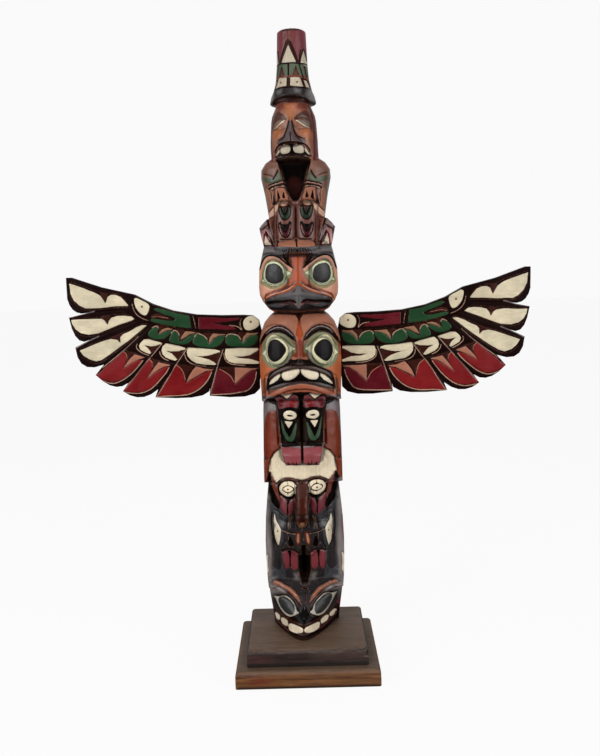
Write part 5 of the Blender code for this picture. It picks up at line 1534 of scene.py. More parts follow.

# %% [markdown]
# ## The painted design of the wings
# A black ground, then a row of green U shapes, a row of pale ones, the red feathers below, three long pale
# feathers at the end, and the bar with its eye joints. Light brown lines along the cut edges are painted
# highlights, where the varnish would catch the light. Shapes that repeat along a row are written as one row,
# from the pole outwards.

# %% The green row
GREEN_ROW = (
    *row(curved, ("green",),
         ((38.5, 308.9), (45.3, 307.7), (49.8, 304.7), (52.4, 300.3), (53.8, 305), (56.2, 307.6),
          (60.7, 309.3), (65.8, 309.4), (67.4, 305.9), (67.9, 301.3), (65.1, 298.1), (55.1, 297.4),
          (46, 297.5), (40.6, 300.2), (38, 305.7)),
         ((67.4, 308.8), (73.4, 307.7), (78.8, 305.1), (83, 300.4), (84.1, 305.7), (87.4, 308.7),
          (92.8, 310.9), (95.7, 307.9), (97.9, 303.7), (96.8, 300.8), (91.5, 298.7), (83.3, 297.3),
          (77.5, 297.8), (72.1, 300.3), (68.8, 304.6)),
         ((94.3, 310.7), (99.7, 309.1), (104.2, 306.2), (108.6, 303.8), (109.7, 305.7), (109.2, 309.8),
          (110.6, 312.6), (113.3, 314.4), (116, 311.4), (119.1, 306.1), (118.8, 303.7), (114.2, 302),
          (106, 300.7), (100.6, 302.2), (96.6, 306.4)),
         ((114.8, 314.2), (119.7, 313.5), (124.2, 312.1), (128.4, 310.4), (128.9, 312.5), (127.8, 316.5),
          (129.3, 318.7), (133.2, 316.6), (137.8, 312.9), (137.4, 309.6), (133.3, 307.2), (127.8, 306),
          (122.9, 306.7), (118.2, 310.1))),
    # Tan and sepia at each notch are its lit side and its shaded side, as painted light and shade.
    *row(patch, ("tan",),
         ((37.2, 310.5), (43.5, 309.9), (48, 310.4), (51.1, 308.5), (52.1, 304.5), (52.3, 300.3),
          (48.9, 305.4), (45.3, 307.9), (39, 309)),
         ((65.7, 309.6), (72.5, 309.6), (79.4, 310.1), (81.6, 307.9), (82.6, 304.2), (83, 300.6),
          (78.8, 305.6), (73.4, 308.1), (67.6, 308.8)),
         ((93.4, 311.4), (98.8, 312.4), (103.9, 313), (106.1, 310.4), (108.8, 305.2), (104.2, 307.3),
          (99.7, 310), (95.2, 310.8)),
         ((114.2, 315.1), (118.8, 316.2), (123.3, 315.6), (126.4, 313.1), (128.6, 310.4), (124.2, 312.3),
          (119.7, 314), (115.7, 314.5))),
    # The shaded side of each notch, painted.
    *row(patch, ("sepia",),
         ((47.6, 310.7), (54.9, 310.7), (56.7, 309.2), (53.6, 305.7), (52.6, 300.8), (51.6, 306.3)),
         ((78.5, 310.5), (86.7, 311), (88.5, 309.9), (84.7, 307.3), (83.5, 301.3), (81.9, 306.4)),
         ((103, 313.5), (110.6, 315.2), (109.9, 312.1), (108.8, 309.4), (109.5, 305.2), (106.4, 309.5)),
         ((118.4, 316.8), (128.4, 319.2), (127.8, 317.1), (127.3, 314.4), (128.4, 311.1), (124.9, 314.8))),
    # Painted highlights along the cut edges.
    *row(line, ("edge", 0.8),
         ((53.8, 304), (55.8, 307.5), (59.5, 309.2), (64.9, 309.8), (67.2, 306.8)),
         ((84.3, 304.9), (86.1, 307.6), (89.7, 309.7), (93.2, 311.2), (96.1, 307.5)),
         ((109, 309.8), (110.2, 312.8), (113.3, 314.7), (116.6, 311.4)),
         ((128, 316.4), (129.3, 318.9), (133.6, 316.8))),
)
print("the green row:", len(GREEN_ROW), "shapes")

# %% The pale row
PALE_ROW = (
    *row(patch, ("cream",),
         ((38.3, 296.3), (47.8, 296.4), (67.7, 296), (68.7, 292.2), (68.1, 287.6), (65.4, 284.4),
          (60.4, 282.7), (50.4, 282), (38.5, 281.7), (37.6, 282.9)),
         ((72.7, 294.5), (77.8, 296), (89.7, 297.1), (101.3, 298.3), (102.9, 294.4), (102.6, 290.4),
          (99.6, 286.6), (95.1, 283.8), (86.9, 282.2), (78.6, 281.3), (76.3, 282.3)),
         ((103.7, 297.5), (109.7, 299.7), (116, 301.2), (121.9, 302.2), (125.1, 299.5), (126.4, 295.7),
          (125.5, 292.2), (122.4, 289.4), (117.9, 287.5), (113.9, 286.3), (112, 287.3)),
         ((125.1, 302.8), (131.5, 305), (136.9, 306.9), (141.8, 306.6), (145.1, 303.4), (146.4, 300.3),
          (144.8, 296.9), (140.6, 294.4), (137, 292.7), (135.9, 293.8))),
    *row(patch, ("sepia",),
         ((36.9, 295.2), (41.4, 292.5), (45.9, 289.8), (51.4, 288.8), (61, 288.8), (55, 287.2),
          (45.9, 286.3), (39.5, 284.3), (36.7, 282.9)),
         ((72.9, 293.5), (77.8, 292), (83.3, 290.5), (89.6, 290), (96, 290.4), (89.6, 288.9), (83.2, 286.9),
          (78.7, 284.2), (75.9, 281.5)),
         ((104.8, 296.4), (109.7, 295), (116, 294.7), (122, 295.1), (116.9, 292.8), (114.2, 290.1),
          (112, 287.1)),
         ((126, 302.1), (131.5, 300.3), (136, 300), (141.8, 301.3), (138.4, 298.3), (136.6, 295.6),
          (135.7, 293.3)),
         ((37.3, 294.2), (41.4, 291.9), (44.7, 289.7), (40.4, 288.3), (37.2, 289.7)),
         ((74.7, 292), (80.5, 290.4), (85.1, 289.2), (80.5, 286.8), (76.8, 285.6)),
         ((106.6, 294.7), (111.5, 293.5), (116, 293.2), (113.3, 290.7), (110.9, 289.8)),
         ((127.5, 300.8), (132.4, 298.8), (136.6, 298.7), (134.8, 296), (132.8, 294.6))),
    # Painted highlights along the cut edges.
    *row(line, ("edge", 0.75),
         ((69.4, 292.2), (69.2, 287), (65.9, 283.3), (60.4, 281.4), (50.4, 280.7)),
         ((104.8, 292.2), (104.6, 288.5), (101.5, 284.4), (95.1, 281.8), (85.9, 280.7)),
         ((128.2, 295.3), (127.5, 291.6), (124.2, 288.4), (119.7, 286.5)),
         ((147.8, 303), (149.1, 299.3), (146, 295.7), (141.5, 293.1), (137.9, 291.6))),
)
print("the pale row:", len(PALE_ROW), "shapes")

# %% The red feathers
RED_FEATHERS = (
    patch("wine", (40.3, 276.7), (44.8, 275.7), (51.1, 271.9), (55.7, 267.7), (60, 263.3), (61.1, 267.5),
      (63.9, 272.5), (68.5, 275.3), (74.6, 277.7), (76.2, 276.9), (78.2, 270.8), (83, 255.1), (63.8, 255.2),
      (51.8, 255.7), (46.4, 259.2), (42.8, 265.2), (40.7, 271.7)),
    *row(patch, ("red",),
         ((81, 276.3), (86.8, 274.8), (93.2, 271.9), (99.6, 268.4), (105, 265.5), (105.6, 270.1),
          (106.5, 275.6), (108.7, 279.8), (112.9, 282.5), (115.1, 281.3), (118.8, 275.3), (132.2, 254.1),
          (109.6, 254.7), (101.4, 256.3), (94, 260.2), (87.7, 266), (83.1, 272)),
         ((119.7, 281.2), (124.2, 280.7), (128.8, 278.2), (134.3, 274.6), (140.4, 270.7), (137, 275.8),
          (134.8, 281.4), (134.8, 286), (137.4, 288.3), (139.4, 287.3), (144.3, 280.6), (162.4, 260),
          (153.6, 258), (147.2, 258.4), (138.9, 261.3), (131.6, 267.1), (124.3, 274.6)),
         ((143.4, 287.9), (148.8, 287.4), (153.4, 284.9), (158, 282.3), (161.6, 280.7), (159.4, 285.3),
          (157.4, 290), (157.7, 294), (160.6, 296.6), (163.3, 294.4), (170.7, 287.8), (187.6, 274.5),
          (180.9, 270.5), (173.7, 268.1), (168.2, 268.7), (160.8, 272.4), (153.5, 278.1), (147, 283.8))),
    # Flank and sepia at each notch between the red feathers are its lit side and its shaded side, as painted
    # light and shade.
    *row(patch, ("flank",),
         ((37.5, 277.9), (45.8, 278.1), (60, 279), (60.1, 271.3), (60.2, 263.5), (55.7, 268.2),
          (51.2, 272.4), (44.8, 276.3), (39.4, 277.3)),
         ((78.6, 277.4), (87.7, 278.3), (95.1, 280.9), (97.8, 278.1), (101.4, 273), (105, 265.5),
          (99.6, 269.4), (93.2, 272.6), (86.8, 275.8), (80.4, 276.7)),
         ((117.9, 282.7), (124.2, 284), (129.7, 285.3), (133.4, 280.5), (140.4, 270.5), (134.3, 274.9),
          (128.8, 279.1), (124.2, 281.4), (119.7, 281.7)),
         ((141.2, 289.8), (146.1, 291.7), (150.6, 293.1), (155.2, 288.7), (162, 280.7), (157.1, 283.2),
          (152.5, 285.9), (147.9, 288))),
    *row(patch, ("sepia",),
         ((60.2, 279.2), (74.1, 279.2), (67.6, 276.1), (63.6, 272.5), (60.8, 265.1)),
         ((96, 281.4), (112.4, 283.2), (108.2, 279.8), (106, 275.6), (105.2, 268.3), (101.8, 274.8),
          (98.7, 279.5)),
         ((128.8, 286.1), (136.1, 289), (134.3, 286), (134.3, 281.4), (137.4, 274.3), (133.4, 280.5)),
         ((150.2, 293.8), (159.7, 296.9), (157, 294), (156.8, 290), (160.2, 283.1), (155.6, 289.1))),
    # Painted highlights on the lit side of each notch.
    *row(line, ("flank", 0.7),
         ((61.1, 265.7), (63.6, 270.8), (68, 274.6), (74, 277.9)),
         ((105.6, 269.2), (106.9, 275.6), (109.3, 279.6), (112.9, 282.3)),
         ((135.2, 281.4), (135.2, 285.6), (137.4, 288.1)),
         ((157.7, 290), (157.9, 293.6), (160.6, 296.3))),
    # Painted highlights along the cut edges of the feathers.
    *row(line, ("edge", 0.9),
         ((40.2, 274.5), (41.9, 267.1), (45.8, 260.2), (50.6, 256.5), (60.1, 255), (83, 254.4)),
         ((81.1, 275.3), (84, 269.2), (88.6, 263.5), (95, 258.5), (101.4, 255.2), (109.6, 254.1),
          (133.5, 253.5)),
         ((120, 280.4), (124.3, 273.9), (131.6, 266.1), (138.9, 260.2), (147.2, 257.1), (153.6, 256.9),
          (162.8, 258.9)),
         ((143.4, 287.2), (147, 282.5), (153.5, 276.7), (160.8, 271), (168.2, 267.3), (174.6, 266.7),
          (181.9, 269.7), (188.2, 274))),
)
print("the red feathers:", len(RED_FEATHERS), "shapes")

# %% The long feathers
LONG_FEATHERS = (
    *row(patch, ("cream",),
         ((153.9, 337.2), (156.6, 340.7), (160.2, 345.1), (164.6, 347.1), (169.1, 347.4), (172.2, 345.7),
          (173.7, 341.7), (174.6, 340.2), (176, 342.9), (178.7, 347.3), (183.5, 350.2), (193.3, 354.1),
          (206, 358.6), (205.4, 349.3), (202.5, 343.1), (198.1, 338.4), (192.7, 335.8), (181.9, 335.8),
          (168.3, 336.8)),
         ((149.1, 325.4), (152.2, 327.9), (157.6, 328.6), (163.9, 328.5), (169.4, 326.9), (172.1, 323.8),
          (173, 321), (173.9, 320.8), (175.3, 324), (178.4, 326), (184.7, 326.5), (192.8, 326.3),
          (206.2, 326), (205.6, 322), (202.6, 317), (198.1, 313.5), (191.3, 311.9), (182.2, 313),
          (171.3, 317.1), (160.4, 321.3)),
         ((138.1, 319.2), (143.2, 319.2), (148.6, 317.5), (155, 314.2), (160.5, 311.8), (163, 309),
          (162.9, 304.1), (163.6, 304.2), (165.9, 306.7), (171.4, 307.7), (176.8, 306.4), (185, 303.5),
          (200, 297.9), (197, 293), (192.5, 289.5), (186.2, 287.8), (180.7, 289), (173.4, 293.2),
          (166, 298.5), (156.9, 305.1), (147.8, 312.1))),
    *row(patch, ("sepia",),
         ((171.5, 346.9), (172.7, 349.2), (178.6, 350), (177.8, 347.3), (175.5, 342.5), (174.6, 340.2),
          (173.3, 343)),
         ((169.3, 327.8), (172.9, 329), (179.3, 327.2), (176.1, 324.6), (173.9, 321.4), (173, 321.4),
          (171.9, 324.5)),
         ((161, 311.9), (164.1, 312.2), (171.4, 308.6), (166.8, 307.4), (163.4, 304.4), (163, 309))),
    *row(line, ("sepia", 0.7),
         ((154.8, 338.9), (158, 344.2), (161.9, 347.7), (169.1, 349.3), (176.3, 349.7), (184.3, 352.5),
          (205.6, 360.2)),
         ((149.5, 326.8), (153.1, 329.6), (159.4, 330.6), (169.3, 329.6), (182, 328), (192.8, 327.6),
          (205.5, 327.4)),
         ((138.7, 320.4), (145, 320.3), (153.2, 316.8), (161.3, 313), (171.4, 309.3), (182.3, 305.9),
          (199.6, 299.7)),
         ((154.8, 335.7), (168.4, 335.6), (181.9, 334.5), (192.7, 334.4), (198.1, 336.6), (203, 341.9),
          (206.3, 349.3)),
         ((150.4, 324.1), (161.3, 319.9), (172.2, 315.4), (183.1, 311.4), (192.2, 310.1), (198.5, 311.7),
          (203.7, 315.6), (206.9, 321.1)),
         ((139.6, 317), (148.7, 310), (158.7, 302.3), (167.9, 295.7), (175.2, 290.4), (181.6, 287),
          (187.1, 285.9), (193.5, 287.8), (198.5, 292.1))),
)
print("the long feathers:", len(LONG_FEATHERS), "shapes")

# %% The bar
BAR = (
    curved("cream", (34.6, 320.7), (35.5, 323.4), (38.3, 325.2), (42.8, 325.4), (47.3, 324.6), (50.5, 321.8),
      (51.3, 318.2), (50.4, 314.2), (48, 312.4), (43.5, 312.7), (39, 314.5), (35.8, 317.3)),
    oval("line", (44.2, 319.9), (1.1, 1.1)),
    patch("wine", (54.1, 324), (68.9, 324.2), (91.5, 325.5), (91.5, 314.8), (77.9, 314.2), (64.3, 313.7),
      (57.4, 313.5), (60.7, 316.7), (68, 317.9), (79.2, 319.4), (68, 320.8), (55.4, 322)),
    # Painted highlights along the cut edges of the bar.
    line("edge", 0.75, (52.7, 312.7), (55.3, 315.5), (58.9, 316.9), (63.4, 317.7)),
    *row(line, ("edge", 0.6),
         ((52.3, 323.5), (53.9, 320.3), (54, 316.6), (52.5, 313.6)),
         ((95.7, 326.4), (94.2, 315.6))),
    patch("green", (99.3, 327.6), (109.6, 329.3), (118.6, 332.2), (128.1, 334.8), (131.2, 333.8),
      (128.5, 331.6), (122.2, 329), (115.9, 326.8), (111.7, 324.8), (113.5, 322.7), (120.4, 322.9),
      (127.6, 324.4), (133, 325), (135.2, 323.8), (133, 322.1), (124, 319.6), (115, 317.7), (98.3, 315.5)),
    patch("sepia", (115, 324.7), (120.4, 326.9), (127.6, 329.8), (133, 328.2), (134.8, 325.6),
      (127.6, 325.6), (121.3, 324.2), (115.5, 323.8)),
    line("tan", 0.7, (118.2, 325.2), (124, 326.4), (128.5, 327.2), (133, 326)),
    curved("cream", (134.4, 337.1), (136.4, 339.6), (142, 342.5), (146.4, 344.9), (148.6, 343.2),
      (148.1, 339.1), (146.5, 334.2), (142.9, 329.9), (139.3, 327.9), (137, 329), (135.3, 332.8)),
    oval("line", (141.4, 336.3), (1.1, 1.1)),
    # Painted highlight along the cut edge.
    line("edge", 0.6, (150.4, 339.1), (149.2, 333.7), (146.5, 329), (142, 325.5), (136.6, 323.4)),
)
print("the bar:", len(BAR), "shapes")

# %% The edges between feathers
WING_EDGES = (
    # Painted highlights along the cut edges between the feathers.
    *row(line, ("edge", 0.8),
         ((70.2, 295.2), (75.5, 281), (83.5, 255.9)),
         ((102, 297.7), (112.8, 283.8), (132.5, 254.1)),
         ((125.5, 302.1), (136.4, 289.9), (162.7, 260.9)),
         ((146.9, 309.4), (158.8, 298.2), (180.8, 281.5))),
    # Painted grey highlights on the raised top edges of the long feathers.
    *row(line, ("greyer", 1.2),
         ((184.6, 333.2), (193.7, 331.3), (206.4, 328.7)),
         ((182.2, 310.3), (192.3, 306.1), (203.3, 300.3))),
    *row(line, ("sepia", 0.8),
         ((37.6, 279.4), (51.3, 280), (74.1, 279.9)),
         ((38.1, 311.3), (66.2, 311), (94.3, 313), (117, 317), (129.6, 320.1))),
    *row(line, ("sepia", 0.75),
         ((79.5, 278.7), (96, 281.4), (112.4, 283.2)),
         ((118.8, 284), (128.8, 286.3), (135.2, 288.7)),
         ((141.5, 290.7), (149.7, 294.2), (158.8, 297.2))),
)
WING_PAINT = GREEN_ROW + PALE_ROW + RED_FEATHERS + LONG_FEATHERS + BAR + WING_EDGES
print("the wing:", len(WING_PAINT), "shapes")

# %% Carve and paint both wings
BAR_LOWER_EDGE = (
    (156.0, 334.0), (147.5, 327.0), (134.0, 320.7), (115.0, 316.1), (97.0, 313.7), (69.0, 311.2),
    (30.0, 311.2),
)
BAR_END = 150.0
BAR_TOP_EDGE = [(x, y + 1.0) for x, y in WING_TOP_EDGE if x < BAR_END]
BAR_OUTLINE = np.array([(30.0, 330.0)] + BAR_TOP_EDGE + list(BAR_LOWER_EDGE))
BAR_RISE = 1.2
BAR_SLOPE = (-0.5, 0.4)
# Deep knife cuts between the feathers, then below the green row and below the pale row
WING_CUTS = (
    ((194.2, 331.4), (155.0, 333.6)),
    ((192.6, 306.5), (149.0, 323.0)),
    ((181.4, 283.0), (157.5, 299.1), (138.0, 316.5)),
    ((159.8, 264.9), (141.0, 284.6)),
    ((132.6, 258.0), (117.0, 278.4)),
    ((84.2, 258.4), (78.4, 274.6)),
    ((38.6, 296.4), (71.5, 296.0), (102.0, 297.6), (130.0, 304.4), (141.0, 308.0)),
    ((38.9, 279.2), (77.0, 279.6), (113.0, 283.4), (138.0, 290.0), (154.0, 296.4)),
)
WING_CUT_DEEP = 0.7
WING_CUT_WIDTH = 1.2
EDGE_ROUND = 1.0
EDGE_DROP = 0.7
BACK_DROP = 0.3
WING_ERROR = (0.4, 11.0)
WING_WAVE = (0.12, 6.0)
RIM_RUB = 0.35
RIM_RUB_WIDTH = (-1.6, -0.2)


def finish_wing(piece, sign, node_name, seed):
    place = corners(piece.data)
    x, y, level = sign * place[:, 0], place[:, 1], place[:, 2]
    on_front = y < -WING_FRONT + WING_THICK / 2
    rim = patch_distance(x, level, np.array(wing_outline()))
    error, length = WING_ERROR
    u = x + error * unevenness(x / length, level / length, seed)
    v = level + error * unevenness(x / length, level / length, seed + 1)
    layers = blank_layers(len(x))
    relief = np.zeros(len(x))
    cover(layers, "ebony", np.where(on_front, -FAR, FAR), np.arange(len(x)))
    bar = patch_distance(u, v, BAR_OUTLINE)
    relief += BAR_RISE * ease(-bar, *BAR_SLOPE)
    for cut in WING_CUTS:
        distance = line_distance(u, v, softened(cut), 0.0)
        relief -= WING_CUT_DEEP * np.clip(1.0 - distance / WING_CUT_WIDTH, 0.0, 1.0) * (bar > 0.0)
    for shape in WING_PAINT:
        paint_shape(layers, relief, u, v, shape)
    for distance in layers.values():
        distance[~on_front] = FAR
    edge = ease(rim, -EDGE_ROUND, 0.0)
    wave, length = WING_WAVE
    relief += wave * unevenness(x / length, level / length, seed + 2) - EDGE_DROP * edge
    place[:, 1] = y - np.where(on_front, relief, BACK_DROP * edge)
    move_corners(piece.data, place * MM)
    write_paint(piece.data, layers)
    rubbed = np.where(on_front, RIM_RUB * ease(rim, *RIM_RUB_WIDTH), 0.0)
    # Below zero, the ridge number darkens the knife cuts: dirt and painted shade.
    write_number(piece.data, "ridge", rubbed + 0.5 * np.minimum(relief, 0.0))
    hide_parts(node_name)


finish_wing(wings[-1.0], -1.0, "wing_left", 40)
finish_wing(wings[1.0], 1.0, "wing_right", 20)
print("wings carved and painted")

# %% [markdown]
# ## The two boards of the base
# Each board has a rounded upper edge, run along it with a plane, while its upright corners are almost
# sharp. A cube is cut into a grid, and every point is drawn in from the full plan by the profile of the
# edge at its height. The front edge of the upper board is knocked and worn, so small chips are taken out in
# the same step.

# %% Boards
BOARD_CUTS = 76
BOARD_CORNER = 1.4
FOOT_ROUND = 1.0
LOWER_ROUND = 4.6
UPPER_ROUND = 4.2
# Grid lines gather at the edges of a board by this power
EDGE_POWER = 1.8
# Wear of the front edge. Its waves: share, length along the board, length upwards. The worst of it: place and
# width as shares of the half length, and how much is added. Then how much is spared and how deep it bites
WEAR_REACH = 4.0
WEAR_WAVES = ((1.0, 3.2, 3.0), (0.7, 1.1, 1.0))
WORST_WEAR = (0.35, 0.3, 0.6)
WEAR_SPARED = 0.1
LEAST_WEAR = 0.15
BITE = 0.7
CORNER_CHIP = 9.0
# Heights over which the painted shadow along the foot of a board fades out
FOOT_SHADE_HEIGHTS = (1.6, 4.2)
RIM_RUBBED = (0.3, 3.0)
# Red stain spilt on the front of a board: distance left of the middle, half width, half height. Its strength
# grows with the wear
STAIN = (42.0, 15.0, 4.5)
STAIN_DEPTH = 1.5
STAIN_STRENGTH = (0.7, 0.5)


def drawn_in(level, size, radius):
    """How far the plan is drawn in at a height, by a quarter round at the upper edge."""
    over = np.clip((level - (size - radius)) / radius, 0.0, 1.0)
    return radius * (1.0 - np.sqrt(1.0 - over ** 2))


def rounded_block(cube, size, radius):
    """Move the corners of a cut cube to a board of the given half size, with a rounded upper edge."""
    share = np.sign(cube) * (1.0 - (1.0 - np.abs(cube)) ** EDGE_POWER)
    level = share[:, 2] * size[2]
    inset = drawn_in(level, size[2], radius) + drawn_in(-level, size[2], FOOT_ROUND)
    inset = np.where(cube[:, 2] > 1.0 - 1e-6, radius, inset)
    plan = size[:2] - inset[:, None]
    flat = share[:, :2] * plan
    inner = np.clip(flat, -(plan - BOARD_CORNER), plan - BOARD_CORNER)
    away = flat - inner
    length = np.maximum(np.linalg.norm(away, axis=1, keepdims=True), 1e-9)
    longer = np.abs(away).max(axis=1, keepdims=True)
    place = np.empty_like(cube)
    place[:, :2] = np.where(length > 1e-6, inner + away / length * longer, flat)
    place[:, 2] = level
    return place


def board(name, node_name, radius, chip, seed, foot_dirt):
    """One board of the base. Its worn front edge loses chips, and a painted shadow lies along its foot."""
    low, high = (np.array(corner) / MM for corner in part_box(node_name))
    centre, size = (low + high) / 2, (high - low) / 2
    block = bmesh.new()
    bmesh.ops.create_cube(block, size=2.0)
    bmesh.ops.subdivide_edges(block, edges=block.edges, cuts=BOARD_CUTS, use_grid_fill=True)
    piece = write_mesh(name, block)
    place = rounded_block(corners(piece.data), size, radius)
    x, y, level = place.T.copy()
    edge = np.hypot(level - size[2] + 1.0, y + size[1] - 1.0) / WEAR_REACH
    edge = np.clip(1.0 - edge, 0.0, 1.0)
    wear = sum(share * unevenness(x / wide, level / high, seed + k)
               for k, (share, wide, high) in enumerate(WEAR_WAVES))
    worst, spread, more = WORST_WEAR
    wear = wear + more * np.exp(-((x / size[0] - worst) / spread) ** 2) - WEAR_SPARED
    wear = np.clip(wear, 0.0, 1.0)
    bite = BITE * chip * edge * wear
    corner = np.exp(-((x - size[0]) ** 2 + (y + size[1]) ** 2) / CORNER_CHIP) * (level > 0.0)
    place += np.stack((-chip * corner, bite + chip * corner, -bite), axis=1)
    x, y = place[:, 0], place[:, 1]
    move_corners(piece.data, (place + centre) * MM)
    write_number(piece.data, "worn", np.clip(edge * (LEAST_WEAR + wear), 0.0, 1.0))
    left, wide, tall = STAIN
    spilt = np.exp(-(((x + left) / wide) ** 2 + ((level + 1.0) / tall) ** 2))
    start, growth = STAIN_STRENGTH
    spilt = spilt * (y < STAIN_DEPTH - size[1]) * (start + growth * wear)
    write_number(piece.data, "stained", spilt)
    to_sides = np.stack((size[0] - np.abs(x), size[1] - np.abs(y), size[2] - level), axis=1)
    rubbed, wide = RIM_RUBBED
    ridge = rubbed * (1.0 - ease(np.sort(to_sides, axis=1)[:, 1], 0.0, wide))
    # A painted shadow darkens the foot of each board, where it sits on the board below or on the floor.
    foot_shadow = foot_dirt * (1.0 - ease(level + size[2], *FOOT_SHADE_HEIGHTS))
    write_number(piece.data, "ridge", ridge - foot_shadow)
    smooth_shade(piece.data)
    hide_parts(node_name)
    return piece


lower_board = board("lower_board", "plinth_lower", LOWER_ROUND, 0.25, 60, 0.4)
upper_board = board("upper_board", "plinth_upper", UPPER_ROUND, 1.3, 70, 2.4)
print("boards:", len(lower_board.data.polygons), len(upper_board.data.polygons), "faces")

# %% [markdown]
# ## Finishes
# Three effects serve every material, so each is a node group built once: one brushes a colour over what
# lies under it by its distance, one rubs edges and darkens hollows, as dirt and painted shade, and one makes
# the grain of wood.

# %% Helpers for finishes
# Most values of a noise lie in this range
NOISE_RANGE = (0.3, 0.7)


def spread_value(tree, value, low, high, first=0.0, last=1.0, **settings):
    links = {0: value, 1: low, 2: high, 3: first, 4: last}
    return node(tree, 'ShaderNodeMapRange', links, **settings).outputs[0]


def multiplied(tree, first, second):
    return node(tree, 'ShaderNodeMath', {0: first, 1: second}, operation='MULTIPLY').outputs[0]


def blend(tree, factor, first, second, kind='MIX'):
    links = {"Factor": factor, 6: first, 7: second}
    return node(tree, 'ShaderNodeMix', links, data_type='RGBA', blend_type=kind).outputs[2]


def shaded(tree, tone, value, dark, light, amount=1.0):
    """Make a tone darker and lighter where a noise is low and high."""
    level = spread_value(tree, value, *NOISE_RANGE, dark, light)
    grey = node(tree, 'ShaderNodeCombineColor', {0: level, 1: level, 2: level}).outputs[0]
    return blend(tree, amount, tone, grey, 'MULTIPLY')


def noise(tree, place, scale, detail, **more):
    links = {"Vector": place, "Scale": scale, "Detail": detail, **more}
    return node(tree, 'ShaderNodeTexNoise', links).outputs[0]


def attribute(tree, name):
    return node(tree, 'ShaderNodeAttribute', attribute_name=name).outputs["Fac"]


def colour(code):
    """A colour from its six-figure code, in linear light."""
    parts = [int(code[i:i + 2], 16) / 255.0 for i in (1, 3, 5)]
    return tuple(p / 12.92 if p <= 0.04045 else ((p + 0.055) / 1.055) ** 2.4 for p in parts) + (1.0,)


print("helpers for finishes ready")

# %% Node groups
FLOAT = 'NodeSocketFloat'
COLOUR = 'NodeSocketColor'
VECTOR = 'NodeSocketVector'
BRUSH_EDGE = 0.12
# Ridges that are rubbed bare and hollows that are darkened as dirt and painted shade, in millimetres
RUBBED_RIDGE = (0.10, 0.40)
HOLLOW_DIRT_AND_SHADE = (-0.03, -0.45)


def start_group(name, inputs, outputs):
    """A new shader group: the group, what it takes and what it gives."""
    group = bpy.data.node_groups.new(name, 'ShaderNodeTree')
    for label, kind, value in inputs:
        made = group.interface.new_socket(name=label, in_out='INPUT', socket_type=kind)
        if value is not None:
            made.default_value = value
    for label, kind in outputs:
        group.interface.new_socket(name=label, in_out='OUTPUT', socket_type=kind)
    return group, group.nodes.new('NodeGroupInput').outputs, group.nodes.new('NodeGroupOutput').inputs


brush, taken, given = start_group(
    "brushed_paint",
    (("Under", COLOUR, None), ("Paint", COLOUR, None), ("Distance", FLOAT, 1.0), ("Waver", FLOAT, 0.0),
     ("Softness", FLOAT, BRUSH_EDGE)),
    (("Colour", COLOUR),))
wavering = node(brush, 'ShaderNodeMath', {0: taken["Distance"], 1: taken["Waver"]}, operation='ADD')
inner = multiplied(brush, taken["Softness"], -1.0)
mask = spread_value(brush, wavering.outputs[0], taken["Softness"], inner, interpolation_type='SMOOTHSTEP')
brush.links.new(blend(brush, mask, taken["Under"], taken["Paint"]), given["Colour"])

rub, taken, given = start_group(
    "edge_rub",
    (("Colour", COLOUR, None), ("Wood", COLOUR, None), ("Dirt", COLOUR, None), ("Ridge", FLOAT, 0.0),
     ("Noise", FLOAT, 0.5), ("Rub", FLOAT, 1.0), ("Grime", FLOAT, 1.0)),
    (("Colour", COLOUR),))
bare = spread_value(rub, multiplied(rub, taken["Ridge"], taken["Noise"]), *RUBBED_RIDGE)
# Hollows below their surround are darkened, as dirt and painted shade.
deep = spread_value(rub, taken["Ridge"], *HOLLOW_DIRT_AND_SHADE)
rubbed = blend(rub, multiplied(rub, bare, taken["Rub"]), taken["Colour"], taken["Wood"])
rub.links.new(blend(rub, multiplied(rub, deep, taken["Grime"]), rubbed, taken["Dirt"]), given["Colour"])

grain, taken, given = start_group(
    "wood_grain",
    (("Stretched", VECTOR, None), ("Rings", FLOAT, 60.0), ("Pores", FLOAT, 500.0)),
    (("Bands", FLOAT), ("Fine", FLOAT)))
waves = noise(grain, taken["Stretched"], taken["Rings"], 3.0, Roughness=0.6, Distortion=0.6)
pores = noise(grain, taken["Stretched"], taken["Pores"], 2.0, Roughness=0.7)
grain.links.new(waves, given["Bands"])
grain.links.new(pores, given["Fine"])
print("node groups:", [g.name for g in bpy.data.node_groups])


# %% Painted wood
RUBBED_WOOD = "#8a5a3c"
PAINT_DIRT_AND_SHADE = "#1a0f0b"
# The two tones of the bare wood, as shares of its colour
WOOD_TONES = (0.45, 1.5)
PAINTED_GRAIN = {"Rings": 160.0, "Pores": 900.0}
# How far the finish darkens and lightens in patches, along the grain and in the pores
PAINT_PATCHES = (0.82, 1.16)
PAINT_STREAKS = (0.95, 1.05)
PAINT_PORES = (0.9, 1.1)
BRUSH_WAVER = 0.16
PAINT_ROUGHNESS = (0.3, 0.46)
# Pigments this dark shine less, because the varnish has sunk into them
SHINE_FROM = (0.002, 0.03)
SHINE_LEAST = 0.15


